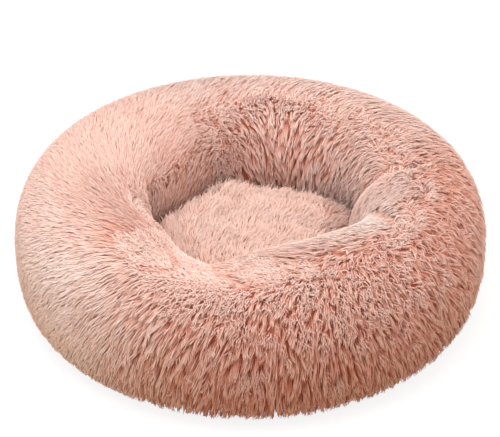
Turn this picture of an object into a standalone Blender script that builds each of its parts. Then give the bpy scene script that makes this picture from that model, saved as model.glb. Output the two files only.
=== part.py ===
"""Donut pet bed: a long-pile ring bolster on a zipped base, round a lift-out seat cushion.

Lengths are in metres and angles in degrees. +Z is up, -Y is the front, and the origin is
the centre of the footprint on the floor.
"""

import math

import bmesh
import bpy
from mathutils import Matrix, Vector

# Bolster section, measured to the face of the liner
RING_RADIUS = 0.213
WIDEST_HEIGHT = 0.078
CROWN_HEIGHT = 0.166
OUTER_HALF_WIDTH = 0.0695
INNER_HALF_WIDTH = 0.0725
UPPER_EXPONENT = 2.45
LOWER_EXPONENT = 2.8

# Layers of the bolster and the base
LINER_THICKNESS = 0.0010
CLOTH_GAP = 0.0004
TAPE_THICKNESS = 0.0006
PILE_DEPTH = 0.0145
BACKING_THICKNESS = 0.0015
WADDING_THICKNESS = 0.0030
PANEL_THICKNESS = 0.0012
GRIP_HEIGHT = 0.0008
LINING_THICKNESS = 0.0010

# Turns round the section: 0 is the outer side, 90 the crown, 180 the inner side, 270 the underside
FOOT_TURN = -50
ZIP_FOOT_TURN = -25
INNER_FOOT_TURN = 225
WADDING_TURN = -64
PANEL_TURN = -55
SLIT_HALF_TURN = 2
CLOSING_HALF_TURN = 8

# Gathers of the inner wall: direction, its shift up to the crown, half widths and depth of each
CREASE_ANGLES = (24, 106, 164, 242, 331)
CREASE_LEANS = (-20, 0, 0, 15, 0)
CREASE_NEAR_HALF_ANGLES = (13, 13, 11, 15, 17)
CREASE_FAR_HALF_ANGLES = (26, 13, 11, 15, 17)
DEEPEST_CREASE = 0.031
CREASE_DEPTH_SHARES = (0.85, 0.7, 0.28, 1.0, 0.55)
CREASE_START_TURN = 60
CREASE_FULL_TURN = 165
CREASE_FADE_TURN = 205
CREASE_END_TURN = 255

# Seat cushion
CUSHION_CLEARANCE = 0.0030
CUSHION_THICKNESS = 0.0820
CUSHION_CROWN = 0.0100
CUSHION_DRAW_IN = 0.0090
SEAT_PILE_DEPTH = 0.0120
SEAT_BASE_THICKNESS = 0.0012
SEAT_EDGE_RADIUS = 0.0200
CROWN_STEP_SHARES = (0.3, 0.6, 0.85)
SIDE_HEIGHT_SHARE = 0.4
SIDE_DRAW_IN_SHARE = 0.35

# Floor lining between the ring's inner seam and the wadding
LINING_TURN_UP = 0.0110
LINING_BEND_SHARE = 0.6

# Grip spots under the base
GRIP_RADIUS = 0.0045
GRIP_SPACING = 0.0540
GRIP_RINGS = 3
GRIP_SIDES = 6

# Zip between the cover and the base panel, round the back
ZIP_START = 18
ZIP_END = 162
ZIP_TURN = -40
ZIP_TAPE_WIDTH = 0.0160
ZIP_COIL_WIDTH = 0.0022
ZIP_COIL_HEIGHT = 0.0015
ZIP_COIL_GAP = 0.0005
ZIP_STOP_LENGTH = 0.0030
ZIP_STOP_RISE = 0.0006
ZIP_END_MARGIN = 0.0080

# Slider and pull
SLIDER_LENGTH = 0.0095
SLIDER_MOUTH_SHARE = 1.25
SLIDER_PLATE = 0.0012
SLIDER_CLEARANCE = 0.0005
SLIDER_SIDE_GAP = 0.0011
EAR_THICKNESS = 0.0010
EAR_BITE = 0.0004
PIN_RADIUS = 0.0008
EYE_CLEARANCE = 0.0004
EYE_WALL = 0.0012
EYE_HEIGHT = 0.0030
PULL_LENGTH = 0.0210
PULL_THICKNESS = 0.0012
PULL_NECK_SHARE = 0.7
PULL_TIP_HEIGHT = 0.0052

# Seam binding and blank care label
BINDING_THICKNESS = 0.0012
BINDING_WIDTH = 0.0060
LABEL_WIDTH = 0.0300
LABEL_DROP = 0.0140
LABEL_THICKNESS = 0.0006
LABEL_ANGLE = 202.5

# Faceting
RING_STEPS = 40
SECTION_STEPS = 16
ROUND_STEPS = 16
SHARP_ANGLE = 50
OVERRUN = 0.0010

STEP_ANGLE = 360 / RING_STEPS
STEP_TURN = 360 / SECTION_STEPS
UNDERSIDE_TURNS = (-CLOSING_HALF_TURN, -SLIT_HALF_TURN, SLIT_HALF_TURN, CLOSING_HALF_TURN)
PANEL_INNER = CLOTH_GAP + WADDING_THICKNESS + CLOTH_GAP
PANEL_OUTER = PANEL_INNER + PANEL_THICKNESS
BASE_STACK = PANEL_OUTER + GRIP_HEIGHT
UPPER_HALF_HEIGHT = CROWN_HEIGHT - WIDEST_HEIGHT
LOWER_HALF_HEIGHT = WIDEST_HEIGHT - BASE_STACK
TAPE_INNER = 2 * CLOTH_GAP
TAPE_OUTER = TAPE_INNER + TAPE_THICKNESS
COVER_INNER = TAPE_OUTER + CLOTH_GAP
COVER_OUTER = COVER_INNER + BACKING_THICKNESS + PILE_DEPTH
COIL_INNER = TAPE_OUTER + CLOTH_GAP
COIL_OUTER = COIL_INNER + ZIP_COIL_HEIGHT
LINING_BOTTOM = BASE_STACK
CUSHION_BOTTOM = LINING_BOTTOM + LINING_THICKNESS + CLOTH_GAP


def clear_scene():
    """Remove every object, so that the scene holds only this part."""
    for thing in list(bpy.data.objects):
        bpy.data.objects.remove(thing, do_unlink=True)


def make_material(name, color, roughness, metallic=0.0):
    """A Principled material with one colour, roughness and metallic value."""
    material = bpy.data.materials.new(name)
    material.use_nodes = True
    shader = material.node_tree.nodes["Principled BSDF"]
    shader.inputs["Base Color"].default_value = (*color, 1.0)
    shader.inputs["Roughness"].default_value = roughness
    shader.inputs["Metallic"].default_value = metallic
    return material


def add_object(name, mesh_builder, material):
    """Link a smoothly shaded mesh object made from a bmesh, with its normals facing out."""
    bmesh.ops.recalc_face_normals(mesh_builder, faces=mesh_builder.faces)
    mesh = bpy.data.meshes.new(name)
    mesh_builder.to_mesh(mesh)
    mesh_builder.free()
    mesh.shade_smooth()
    mesh.set_sharp_from_angle(angle=math.radians(SHARP_ANGLE))
    mesh.materials.append(material)
    thing = bpy.data.objects.new(name, mesh)
    bpy.context.scene.collection.objects.link(thing)
    return thing


def signed_power(value, power):
    """Power of a number that keeps its sign."""
    return math.copysign(abs(value) ** power, value)


def smooth_step(value, start, end):
    """0 before start, 1 after end, and a smooth rise between them."""
    share = min(max((value - start) / (end - start), 0.0), 1.0)
    return share * share * (3 - 2 * share)


def crease_depth(angle, turn):
    """How far the gathers draw the wall in at a direction and a turn of the section."""
    rise = smooth_step(turn, CREASE_START_TURN, CREASE_FULL_TURN)
    reach = rise * (1 - smooth_step(turn, CREASE_FADE_TURN, CREASE_END_TURN))
    climb = min(max((180 - turn) / 90, 0.0), 1.0)
    half_angles = zip(CREASE_NEAR_HALF_ANGLES, CREASE_FAR_HALF_ANGLES)
    creases = zip(CREASE_ANGLES, CREASE_LEANS, half_angles, CREASE_DEPTH_SHARES)
    depth = 0.0
    for center, lean, (near, far), share in creases:
        away = (angle - center - lean * climb + 180) % 360 - 180
        depth += share * math.exp(-((away / (near if away < 0 else far)) ** 2))
    return DEEPEST_CREASE * depth * reach


def ring_section(angle, turn, offset):
    """Radius and height of the bolster's section, a distance out from the liner's face."""
    radians = math.radians(turn)
    across, up = math.cos(radians), math.sin(radians)
    power = 2 / (UPPER_EXPONENT if up > 0 else LOWER_EXPONENT)
    half_width = OUTER_HALF_WIDTH if across > 0 else INNER_HALF_WIDTH
    half_height = UPPER_HALF_HEIGHT if up > 0 else LOWER_HALF_HEIGHT
    x = (half_width + offset) * signed_power(across, power)
    z = (half_height + offset) * signed_power(up, power)
    kept = 1 - crease_depth(angle, turn) / math.hypot(x, z)
    return RING_RADIUS + x * kept, WIDEST_HEIGHT + z * kept


def turn_for(length):
    """Degrees round the section, beside the zip, that a length takes."""
    ahead = Vector(ring_section(ZIP_END, ZIP_TURN + 1, TAPE_OUTER))
    here = Vector(ring_section(ZIP_END, ZIP_TURN, TAPE_OUTER))
    return length / (ahead - here).length


def angle_for(length):
    """Degrees round the bed, at the zip, that a length takes."""
    return math.degrees(length / ring_section(ZIP_END, ZIP_TURN, COIL_OUTER)[0])


def spread(first, last, count):
    """Evenly spaced values from first to last, both included."""
    return [first + (last - first) * index / (count - 1) for index in range(count)]


def place(angle, radius, height):
    """Point at a direction, radius and height."""
    radians = math.radians(angle)
    return Vector((radius * math.cos(radians), radius * math.sin(radians), height))


def loft(angles, section_at, around=True, poles=False, layered=True):
    """Solid through sections set round the Z axis.

    section_at(angle) lists the (radius, height) points of one section. With around, the
    last section joins the first, and otherwise both ends are capped. With poles, each
    section runs from the axis to the axis, and its end points are shared by all of them.
    A layered section goes out along its outer face and comes back along its inner face,
    and the triangles of both faces lean the same way, so that nested layers stay clear.
    """
    builder = bmesh.new()
    rows = []
    ends = None
    for angle in angles:
        points = section_at(angle)
        if poles:
            ends = ends or [builder.verts.new(place(angle, *points[i])) for i in (0, -1)]
            inner = [builder.verts.new(place(angle, *point)) for point in points[1:-1]]
            rows.append([ends[0], *inner, ends[1]])
        else:
            rows.append([builder.verts.new(place(angle, *point)) for point in points])
    pairs = list(zip(rows, rows[1:]))
    if around:
        pairs.append((rows[-1], rows[0]))
    for row, following in pairs:
        count = len(row)
        for index in range(count - 1 if poles else count):
            after = (index + 1) % count
            near, far = (row[index], row[after]), (following[index], following[after])
            if layered and index >= count // 2:
                triangles = (near[0], far[0], near[1]), (near[1], far[0], far[1])
            else:
                triangles = (near[0], far[0], far[1]), (near[0], far[1], near[1])
            for corners in triangles:
                if len(set(corners)) == 3:
                    builder.faces.new(corners)
    if not around:
        builder.faces.new(rows[0])
        builder.faces.new(reversed(rows[-1]))
    return builder


def ring_angles():
    """Directions of the sections round the whole bed."""
    return [STEP_ANGLE * index for index in range(RING_STEPS)]


def arc_angles(start, end):
    """Directions from start to end, with the whole bed's own directions between them."""
    inside = [a for a in (STEP_ANGLE * i for i in range(2 * RING_STEPS)) if start < a < end]
    return [start, *inside, end]


def section_turns(first, last):
    """Turns from first to last, with the ones that every layer shares between them."""
    shared = [STEP_TURN * index for index in range(-SECTION_STEPS, SECTION_STEPS + 1)]
    shared += [middle + turn for middle in (-90, 270) for turn in UNDERSIDE_TURNS]
    return [first, *sorted(turn for turn in shared if first < turn < last), last]


def shell_section(angle, turns, inner, outer):
    """Closed section of a layer of the bolster, between two offsets."""
    outside = [ring_section(angle, turn, outer) for turn in turns]
    inside = [ring_section(angle, turn, inner) for turn in reversed(turns)]
    return outside + inside


def strip(start, end, low_turn, high_turn, inner, outer):
    """Part of a layer over an arc of the bed and a few turns of the section."""
    turns = section_turns(low_turn, high_turn)

    def section_at(angle):
        return shell_section(angle, turns, inner, outer)

    return loft(arc_angles(start, end), section_at, around=False)


def cover_foot_turn(angle):
    """Turn of the cover's outer edge, which is higher over the zip."""
    past_start = smooth_step(angle, ZIP_START - 2 * STEP_ANGLE, ZIP_START)
    before_end = 1 - smooth_step(angle, ZIP_END, ZIP_END + 2 * STEP_ANGLE)
    raised = min(past_start, before_end)
    return FOOT_TURN + (ZIP_FOOT_TURN - FOOT_TURN) * raised


def throat_radius(angle):
    """Radius of the nest at its narrowest height."""
    return ring_section(angle, 180, COVER_OUTER)[0]


def build_ring_cover(material):
    """Long-pile sleeve over the bolster, open underneath."""

    def section_at(angle):
        foot_turn = cover_foot_turn(angle)
        shared = section_turns(ZIP_FOOT_TURN, INNER_FOOT_TURN)[1:]
        between = max(-2 * STEP_TURN, (foot_turn + shared[0]) / 2)
        if foot_turn < -2 * STEP_TURN:
            between = -2 * STEP_TURN
        turns = [foot_turn, between, *shared]
        return shell_section(angle, turns, COVER_INNER, COVER_OUTER)

    return add_object("ring_cover", loft(ring_angles(), section_at), material)


def build_ring_liner(material):
    """Inner bag of the bolster, with its filling slit underneath."""
    turns = section_turns(SLIT_HALF_TURN - 90, 270 - SLIT_HALF_TURN)

    def section_at(angle):
        return shell_section(angle, turns, -LINER_THICKNESS, 0.0)

    return add_object("ring_liner", loft(ring_angles(), section_at), material)


def build_slit_tape(material):
    """Tape sewn inside the liner, which closes the filling slit."""
    turns = section_turns(-90 - CLOSING_HALF_TURN, CLOSING_HALF_TURN - 90)
    outer = -LINER_THICKNESS - CLOTH_GAP

    def section_at(angle):
        return shell_section(angle, turns, outer - TAPE_THICKNESS, outer)

    return add_object("liner_closing_tape", loft(ring_angles(), section_at), material)


def build_ring_fill(material):
    """Fibre that fills the liner all round."""
    offset = -LINER_THICKNESS - CLOTH_GAP - TAPE_THICKNESS - CLOTH_GAP
    turns = section_turns(-90, 270)[:-1]

    def section_at(angle):
        return [ring_section(angle, turn, offset) for turn in turns]

    shape = loft(ring_angles(), section_at, layered=False)
    return add_object("ring_fill", shape, material)


def dish_section(angle, rim_turn, inner, outer):
    """Section of a flat round layer under the bolster, with its rim turned up."""
    turns = section_turns(-90, rim_turn)
    below = [ring_section(angle, turn, outer) for turn in turns]
    above = [ring_section(angle, turn, inner) for turn in reversed(turns)]
    return [(0.0, below[0][1]), *below, *above, (0.0, above[-1][1])]


def build_base_wadding(material):
    """Thin quilted pad between the base panel and all that stands on it."""

    def section_at(angle):
        return dish_section(angle, WADDING_TURN, CLOTH_GAP, CLOTH_GAP + WADDING_THICKNESS)

    shape = loft(ring_angles(), section_at, poles=True)
    return add_object("base_wadding", shape, material)


def grip_places():
    """Centres of the grip spots, on a hexagonal grid that the base carries."""
    places = []
    for row in range(-GRIP_RINGS, GRIP_RINGS + 1):
        columns = 2 * GRIP_RINGS + 1 - abs(row)
        for column in range(columns):
            along = column - (columns - 1) / 2
            places.append((GRIP_SPACING * along, GRIP_SPACING * row * math.sin(math.radians(60))))
    return places


def build_grip_spots():
    """Helper for the base panel: its grip spots, each a short prism that tapers down."""
    builder = bmesh.new()
    height = GRIP_HEIGHT + PANEL_THICKNESS / 2
    for x, y in grip_places():
        bmesh.ops.create_cone(
            builder,
            cap_ends=True,
            segments=GRIP_SIDES,
            radius1=GRIP_RADIUS - GRIP_HEIGHT,
            radius2=GRIP_RADIUS,
            depth=height,
            matrix=Matrix.Translation((x, y, height / 2)),
        )
    mesh = bpy.data.meshes.new("grip_spots")
    builder.to_mesh(mesh)
    builder.free()
    helper = bpy.data.objects.new("grip_spots", mesh)
    helper.hide_render = True
    helper.display_type = "WIRE"
    bpy.context.scene.collection.objects.link(helper)
    return helper


def build_base_panel(material):
    """Coated cloth base, turned up at its rim, with grip spots under it."""

    def section_at(angle):
        return dish_section(angle, PANEL_TURN, PANEL_INNER, PANEL_OUTER)

    shape = loft(ring_angles(), section_at, poles=True)
    panel = add_object("base_panel", shape, material)
    union = panel.modifiers.new("grip_spots", "BOOLEAN")
    union.operation = "UNION"
    union.solver = "EXACT"
    union.object = build_grip_spots()
    return panel


def build_floor_lining(material):
    """Cloth under the cushion, turned up to the foot of the cover's inner wall."""
    top = LINING_BOTTOM + LINING_THICKNESS

    def section_at(angle):
        foot = ring_section(angle, INNER_FOOT_TURN, COVER_INNER + BACKING_THICKNESS)
        rim = (foot[0], foot[1] - 2 * CLOTH_GAP - LINING_THICKNESS)
        flat = rim[0] - LINING_TURN_UP
        bend = (flat + LINING_TURN_UP * LINING_BEND_SHARE, top)
        outside = [(flat, LINING_BOTTOM), (bend[0], LINING_BOTTOM)]
        outside.append((rim[0] + LINING_THICKNESS / 2, rim[1]))
        inside = [(rim[0] - LINING_THICKNESS / 2, rim[1]), (bend[0] - LINING_THICKNESS, top)]
        inside.append((flat - LINING_THICKNESS, top))
        return [(0.0, LINING_BOTTOM), *outside, *inside, (0.0, top)]

    shape = loft(ring_angles(), section_at, poles=True)
    return add_object("floor_lining", shape, material)


def cushion_radius(angle):
    """Outline of the seat cushion, which follows the nest."""
    return throat_radius(angle) - CUSHION_CLEARANCE


def cushion_side(angle, offset, count):
    """Upper face and side of the seat cushion from its middle to its lower seam.

    The offset is the depth under the pile's face. The top is crowned, the edge is round,
    and the side draws in towards the seam.
    """
    radius = cushion_radius(angle) - offset
    edge = SEAT_EDGE_RADIUS - offset
    bottom = CUSHION_BOTTOM + SEAT_BASE_THICKNESS + CLOTH_GAP
    shoulder = CUSHION_BOTTOM + CUSHION_THICKNESS - offset - edge
    flat = radius - edge
    points = []
    for share in CROWN_STEP_SHARES:
        rise = CUSHION_CROWN * math.cos(math.radians(90 * share))
        points.append((flat * share, shoulder + edge + rise))
    for turn in spread(85, 0, count):
        radians = math.radians(turn)
        points.append((flat + edge * math.cos(radians), shoulder + edge * math.sin(radians)))
    side_height = bottom + (shoulder - bottom) * SIDE_HEIGHT_SHARE
    points.append((radius - CUSHION_DRAW_IN * SIDE_DRAW_IN_SHARE, side_height))
    points.append((radius - CUSHION_DRAW_IN, bottom))
    return [(0.0, shoulder + edge + CUSHION_CROWN), *points]


def build_seat_cover(material):
    """Plush top and side of the seat cushion."""
    depth = SEAT_PILE_DEPTH + BACKING_THICKNESS

    def section_at(angle):
        outside = cushion_side(angle, 0.0, 5)
        inside = cushion_side(angle, depth, 5)
        return outside + list(reversed(inside))

    shape = loft(ring_angles(), section_at, poles=True)
    return add_object("seat_cover_top", shape, material)


def build_seat_base(material):
    """Cloth that closes the seat cushion underneath."""
    top = CUSHION_BOTTOM + SEAT_BASE_THICKNESS

    def section_at(angle):
        radius = cushion_radius(angle) - CUSHION_DRAW_IN
        return [(0.0, CUSHION_BOTTOM), (radius, CUSHION_BOTTOM), (radius, top), (0.0, top)]

    shape = loft(ring_angles(), section_at, poles=True)
    return add_object("seat_cover_base", shape, material)


def build_seat_fill(material):
    """Fibre pad inside the seat cushion."""
    depth = SEAT_PILE_DEPTH + BACKING_THICKNESS + CLOTH_GAP

    def section_at(angle):
        side = cushion_side(angle, depth, 3)
        return [*side, (0.0, side[-1][1])]

    shape = loft(ring_angles(), section_at, poles=True, layered=False)
    return add_object("seat_fill", shape, material)


def build_seam_binding(material):
    """Tape over the seam of the cover and the base panel, where there is no zip."""
    inner = PANEL_OUTER + CLOTH_GAP
    low = PANEL_TURN - turn_for(BINDING_WIDTH)
    start, end = ZIP_END + 2 * STEP_ANGLE, 360 + ZIP_START - 2 * STEP_ANGLE
    shape = strip(start, end, low, PANEL_TURN, inner, inner + BINDING_THICKNESS)
    return add_object("base_seam_binding", shape, material)


def build_care_label(material):
    """Blank label sewn into the lower seam, at the back left."""
    inner = PANEL_OUTER + 2 * CLOTH_GAP + BINDING_THICKNESS
    half = angle_for(LABEL_WIDTH) / 2
    low = PANEL_TURN - turn_for(LABEL_DROP)
    start, end = LABEL_ANGLE - half, LABEL_ANGLE + half
    shape = strip(start, end, low, PANEL_TURN, inner, inner + LABEL_THICKNESS)
    return add_object("care_label", shape, material)


def build_zip_tapes(material):
    """Upper and lower tape of the zip."""
    reach = turn_for(ZIP_TAPE_WIDTH)
    gap = turn_for(ZIP_COIL_GAP / 2)
    sides = {"upper": (gap, gap + reach), "lower": (-gap - reach, -gap)}
    for side, (low, high) in sides.items():
        low_turn, high_turn = ZIP_TURN + low, ZIP_TURN + high
        shape = strip(ZIP_START, ZIP_END, low_turn, high_turn, TAPE_INNER, TAPE_OUTER)
        add_object(f"zip_tape_{side}", shape, material)


def zip_coil_ends():
    """Directions of the first and the last end of the zip's coils."""
    margin = angle_for(ZIP_END_MARGIN)
    return ZIP_START + margin, ZIP_END - margin


def build_zip_coils(material):
    """Upper and lower coil of the zip, which meet in its middle."""
    start, end = zip_coil_ends()
    gap = turn_for(ZIP_COIL_GAP / 2)
    reach = turn_for(ZIP_COIL_WIDTH)
    sides = {"upper": (gap, gap + reach), "lower": (-gap - reach, -gap)}
    for side, (low, high) in sides.items():
        low_turn, high_turn = ZIP_TURN + low, ZIP_TURN + high
        shape = strip(start, end, low_turn, high_turn, COIL_INNER, COIL_OUTER)
        add_object(f"zip_coil_{side}", shape, material)


def build_zip_stops(material):
    """Crimped stop at each end of the coils."""
    start, end = zip_coil_ends()
    gap = angle_for(CLOTH_GAP)
    length = angle_for(ZIP_STOP_LENGTH)
    reach = turn_for(ZIP_COIL_GAP / 2 + ZIP_COIL_WIDTH)
    ends = {"top": (start - gap - length, start - gap), "bottom": (end + gap, end + gap + length)}
    for name, (first, last) in ends.items():
        low_turn, high_turn = ZIP_TURN - reach, ZIP_TURN + reach
        outer = COIL_OUTER + ZIP_STOP_RISE
        shape = strip(first, last, low_turn, high_turn, COIL_INNER, outer)
        add_object(f"zip_{name}_stop", shape, material)


def slider_angle():
    """Direction of the slider when the zip is closed."""
    return zip_coil_ends()[0] + angle_for(SLIDER_LENGTH / 2 + SLIDER_CLEARANCE)


def slider_frame():
    """Matrix of the slider: X along the zip, Y across it, Z out of the cloth."""
    angle = slider_angle()
    ahead = place(angle, *ring_section(angle, ZIP_TURN + 1, COIL_OUTER))
    here = place(angle, *ring_section(angle, ZIP_TURN, COIL_OUTER))
    across = (ahead - here).normalized()
    along = place(angle + 90, 1, 0)
    out = along.cross(across).normalized()
    if out.dot(place(angle, 1, 0)) < 0:
        out = -out
        along = -along
    frame = Matrix((along, across, out)).transposed().to_4x4()
    frame.translation = here
    return frame


def box_shape(low, high, frame):
    """Closed box between two corners, set in a frame."""
    builder = bmesh.new()
    low, high = Vector(low), Vector(high)
    scale = Matrix.Diagonal((*(high - low), 1))
    place_at = frame @ Matrix.Translation((low + high) / 2) @ scale
    bmesh.ops.create_cube(builder, size=1, matrix=place_at)
    return builder


def slider_body(frame):
    """Top plate and side walls of the slider, wider at its mouth."""
    half_coil = ZIP_COIL_GAP / 2 + ZIP_COIL_WIDTH + SLIDER_SIDE_GAP
    half_width = half_coil + SLIDER_PLATE
    floor = SLIDER_CLEARANCE - ZIP_COIL_HEIGHT
    roof = SLIDER_CLEARANCE
    top = roof + SLIDER_PLATE
    builder = bmesh.new()
    rows = []
    for share in (-0.5, 0.0, 0.5):
        wide = 1 + (SLIDER_MOUTH_SHARE - 1) * (share + 0.5)
        outer, inner = half_width * wide, half_coil * wide
        section = [(-outer, floor), (-outer, top), (outer, top), (outer, floor)]
        section += [(inner, floor), (inner, roof), (-inner, roof), (-inner, floor)]
        x = SLIDER_LENGTH * share
        rows.append([builder.verts.new(frame @ Vector((x, y, z))) for y, z in section])
    for row, following in zip(rows, rows[1:]):
        for index in range(len(row)):
            after = (index + 1) % len(row)
            builder.faces.new((row[index], following[index], following[after], row[after]))
    builder.faces.new(rows[0])
    builder.faces.new(reversed(rows[-1]))
    return builder


def pin_reach():
    """How far the slider's pin stands out from the edge of its plate."""
    return PIN_RADIUS + EYE_CLEARANCE + EYE_WALL + EYE_CLEARANCE


def pin_center():
    """Middle of the slider's upright pin, on which the pull swings."""
    frame = slider_frame()
    half_width = ZIP_COIL_GAP / 2 + ZIP_COIL_WIDTH + SLIDER_SIDE_GAP + SLIDER_PLATE
    edge = frame @ Vector((0, half_width, SLIDER_CLEARANCE + SLIDER_PLATE))
    drop = Vector((0, 0, EAR_THICKNESS + EYE_CLEARANCE + EYE_HEIGHT / 2))
    return edge + place(slider_angle(), pin_reach(), 0) - drop


def upright_frame(center):
    """Matrix at a point with X out from the bed, Z up and Y along the zip."""
    out = place(slider_angle(), 1, 0)
    frame = Matrix((out, Vector((0, 0, 1)).cross(out), Vector((0, 0, 1)))).transposed().to_4x4()
    frame.translation = center
    return frame


def join_shapes(name, shapes, material):
    """One object from overlapping closed shapes, by Boolean union."""
    main = add_object(name, shapes[0], material)
    for index, shape in enumerate(shapes[1:], 1):
        helper = add_object(f"{name}_shape_{index}", shape, material)
        helper.hide_render = True
        helper.display_type = "WIRE"
        union = main.modifiers.new(f"shape_{index}", "BOOLEAN")
        union.operation = "UNION"
        union.solver = "EXACT"
        union.object = helper
    return main


def cylinder_shape(radius, height, frame):
    """Closed upright cylinder about a frame's Z axis."""
    builder = bmesh.new()
    bmesh.ops.create_cone(
        builder,
        cap_ends=True,
        segments=ROUND_STEPS,
        radius1=radius,
        radius2=radius,
        depth=height,
        matrix=frame,
    )
    return builder


def build_zip_slider(material):
    """Slider with two ears and an upright pin between them."""
    frame = slider_frame()
    upright = upright_frame(pin_center())
    across = upright.to_3x3().transposed() @ frame.col[1].to_3d()
    inside = EYE_HEIGHT / 2 + EYE_CLEARANCE
    outside = inside + EAR_THICKNESS
    tip = PIN_RADIUS + EYE_CLEARANCE
    shapes = [slider_body(frame)]
    for low, high in ((inside, outside), (-outside, -inside)):
        drop = outside - (low + high) / 2
        root = pin_reach() + EAR_BITE + drop * across.x / across.z
        shapes.append(box_shape((-root, -tip, low), (tip, tip, high), upright))
    shapes.append(cylinder_shape(PIN_RADIUS, 2 * inside + EAR_THICKNESS, upright))
    return join_shapes("zip_slider", shapes, material)


def build_zip_pull(material):
    """Pull that swings on the slider's pin: an eye and a flat tapered tab."""
    upright = upright_frame(pin_center())
    inner = PIN_RADIUS + EYE_CLEARANCE
    outer = inner + EYE_WALL
    neck = EYE_HEIGHT * PULL_NECK_SHARE
    builder = bmesh.new()
    rows = []
    stations = (inner + EYE_WALL / 2, neck), (PULL_LENGTH - neck, PULL_TIP_HEIGHT), (PULL_LENGTH, neck)
    half = PULL_THICKNESS / 2
    for y, height in stations:
        top = height / 2
        corners = ((-half, -top), (half, -top), (half, top), (-half, top))
        rows.append([builder.verts.new(upright @ Vector((x, y, z))) for x, z in corners])
    for row, following in zip(rows, rows[1:]):
        for index in range(4):
            after = (index + 1) % 4
            builder.faces.new((row[index], following[index], following[after], row[after]))
    builder.faces.new(rows[0])
    builder.faces.new(reversed(rows[-1]))
    pull = join_shapes("zip_pull", [cylinder_shape(outer, EYE_HEIGHT, upright), builder], material)
    cutter = add_object("zip_pull_eye", cylinder_shape(inner, EYE_HEIGHT + OVERRUN, upright), material)
    cutter.hide_render = True
    cutter.display_type = "WIRE"
    cut = pull.modifiers.new("eye", "BOOLEAN")
    cut.operation = "DIFFERENCE"
    cut.solver = "EXACT"
    cut.object = cutter
    return pull


def build_part():
    """Build every piece of the bed."""
    clear_scene()
    plush = make_material("pink_long_pile_plush", (0.76, 0.44, 0.35), 0.95)
    pale_plush = make_material("pale_pink_plush", (0.82, 0.55, 0.46), 0.95)
    nonwoven = make_material("white_nonwoven_cloth", (0.82, 0.80, 0.78), 0.9)
    fibre = make_material("white_polyester_fibre", (0.9, 0.9, 0.88), 1.0)
    coated_cloth = make_material("grey_coated_cloth", (0.16, 0.15, 0.16), 0.7)
    tape_cloth = make_material("pink_tape_cloth", (0.66, 0.36, 0.29), 0.85)
    coil_nylon = make_material("pink_nylon_coil", (0.66, 0.36, 0.29), 0.4)
    zinc = make_material("nickel_plated_zinc", (0.6, 0.59, 0.57), 0.3, 1.0)
    label_cloth = make_material("white_satin_label", (0.85, 0.84, 0.82), 0.5)
    build_ring_cover(plush)
    build_ring_liner(nonwoven)
    build_slit_tape(tape_cloth)
    build_ring_fill(fibre)
    build_base_wadding(fibre)
    build_base_panel(coated_cloth)
    build_floor_lining(nonwoven)
    build_seat_cover(pale_plush)
    build_seat_base(coated_cloth)
    build_seat_fill(fibre)
    build_seam_binding(tape_cloth)
    build_care_label(label_cloth)
    build_zip_tapes(tape_cloth)
    build_zip_coils(coil_nylon)
    build_zip_stops(zinc)
    build_zip_slider(zinc)
    build_zip_pull(zinc)


build_part()
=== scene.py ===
"""Looks of the donut pet bed: its long pile, seat cushion, base cloth, zip and studio.

Lengths are in metres and angles in degrees unless a name says otherwise. +Z is up, -Y is
the front, and every piece is made in the frame's own place.
"""

import logging
import math
from dataclasses import dataclass, field, fields
from enum import Enum

import bmesh
import bpy
import numpy as np
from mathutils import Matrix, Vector, kdtree
from mathutils.bvhtree import BVHTree


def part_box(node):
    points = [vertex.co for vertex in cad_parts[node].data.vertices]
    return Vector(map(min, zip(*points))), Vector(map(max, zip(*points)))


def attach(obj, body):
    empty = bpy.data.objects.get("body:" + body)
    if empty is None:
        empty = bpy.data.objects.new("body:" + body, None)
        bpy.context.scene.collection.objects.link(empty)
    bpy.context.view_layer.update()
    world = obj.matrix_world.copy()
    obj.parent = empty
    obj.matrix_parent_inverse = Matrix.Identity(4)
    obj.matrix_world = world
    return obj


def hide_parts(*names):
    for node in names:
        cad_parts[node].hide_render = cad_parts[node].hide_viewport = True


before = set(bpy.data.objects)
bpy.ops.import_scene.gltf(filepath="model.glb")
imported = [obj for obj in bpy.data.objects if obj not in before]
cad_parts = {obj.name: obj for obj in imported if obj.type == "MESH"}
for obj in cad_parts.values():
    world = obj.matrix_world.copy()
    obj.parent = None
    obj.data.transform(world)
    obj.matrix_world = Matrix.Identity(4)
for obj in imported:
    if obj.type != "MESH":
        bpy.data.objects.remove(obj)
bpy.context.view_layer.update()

PILE_MAP = "OFBake"
LOG = logging.getLogger("pet_bed")

# Sockets of the Mix node's colour form
MIX_FACTOR, MIX_FIRST, MIX_SECOND, MIX_RESULT = 0, 6, 7, 2
# A Wave Texture of scale 1 repeats after this many metres.
WAVE_LENGTH = 2 * math.pi / 20


class Body(Enum):
    """The bodies of the frame that the pieces ride on."""

    BED = "bed"
    SEAT = "seat_cushion"
    SLIDER = "zip_slider"
    PULL = "zip_pull"


class Slot(Enum):
    """Material slots, by name."""

    RING_PILE = "ring_pile"
    SEAT_PILE = "seat_pile"
    NONWOVEN = "nonwoven"
    FIBRE = "fibre"
    COATED_CLOTH = "coated_cloth"
    TAPE_CLOTH = "tape_cloth"
    NYLON = "nylon"
    ZINC = "zinc"
    LABEL_CLOTH = "label_cloth"


def linear(code: str) -> tuple[float, float, float, float]:
    """Linear colour, with full alpha, of an sRGB hex value.

    Args:
        code: Six hex digits, with or without a leading hash.

    Returns:
        Red, green, blue and alpha.
    """
    digits = code.lstrip("#")
    parts = [int(digits[i:i + 2], 16) / 255 for i in (0, 2, 4)]
    bent = [p / 12.92 if p <= 0.04045 else ((p + 0.055) / 1.055) ** 2.4 for p in parts]
    return (*bent, 1.0)


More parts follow.
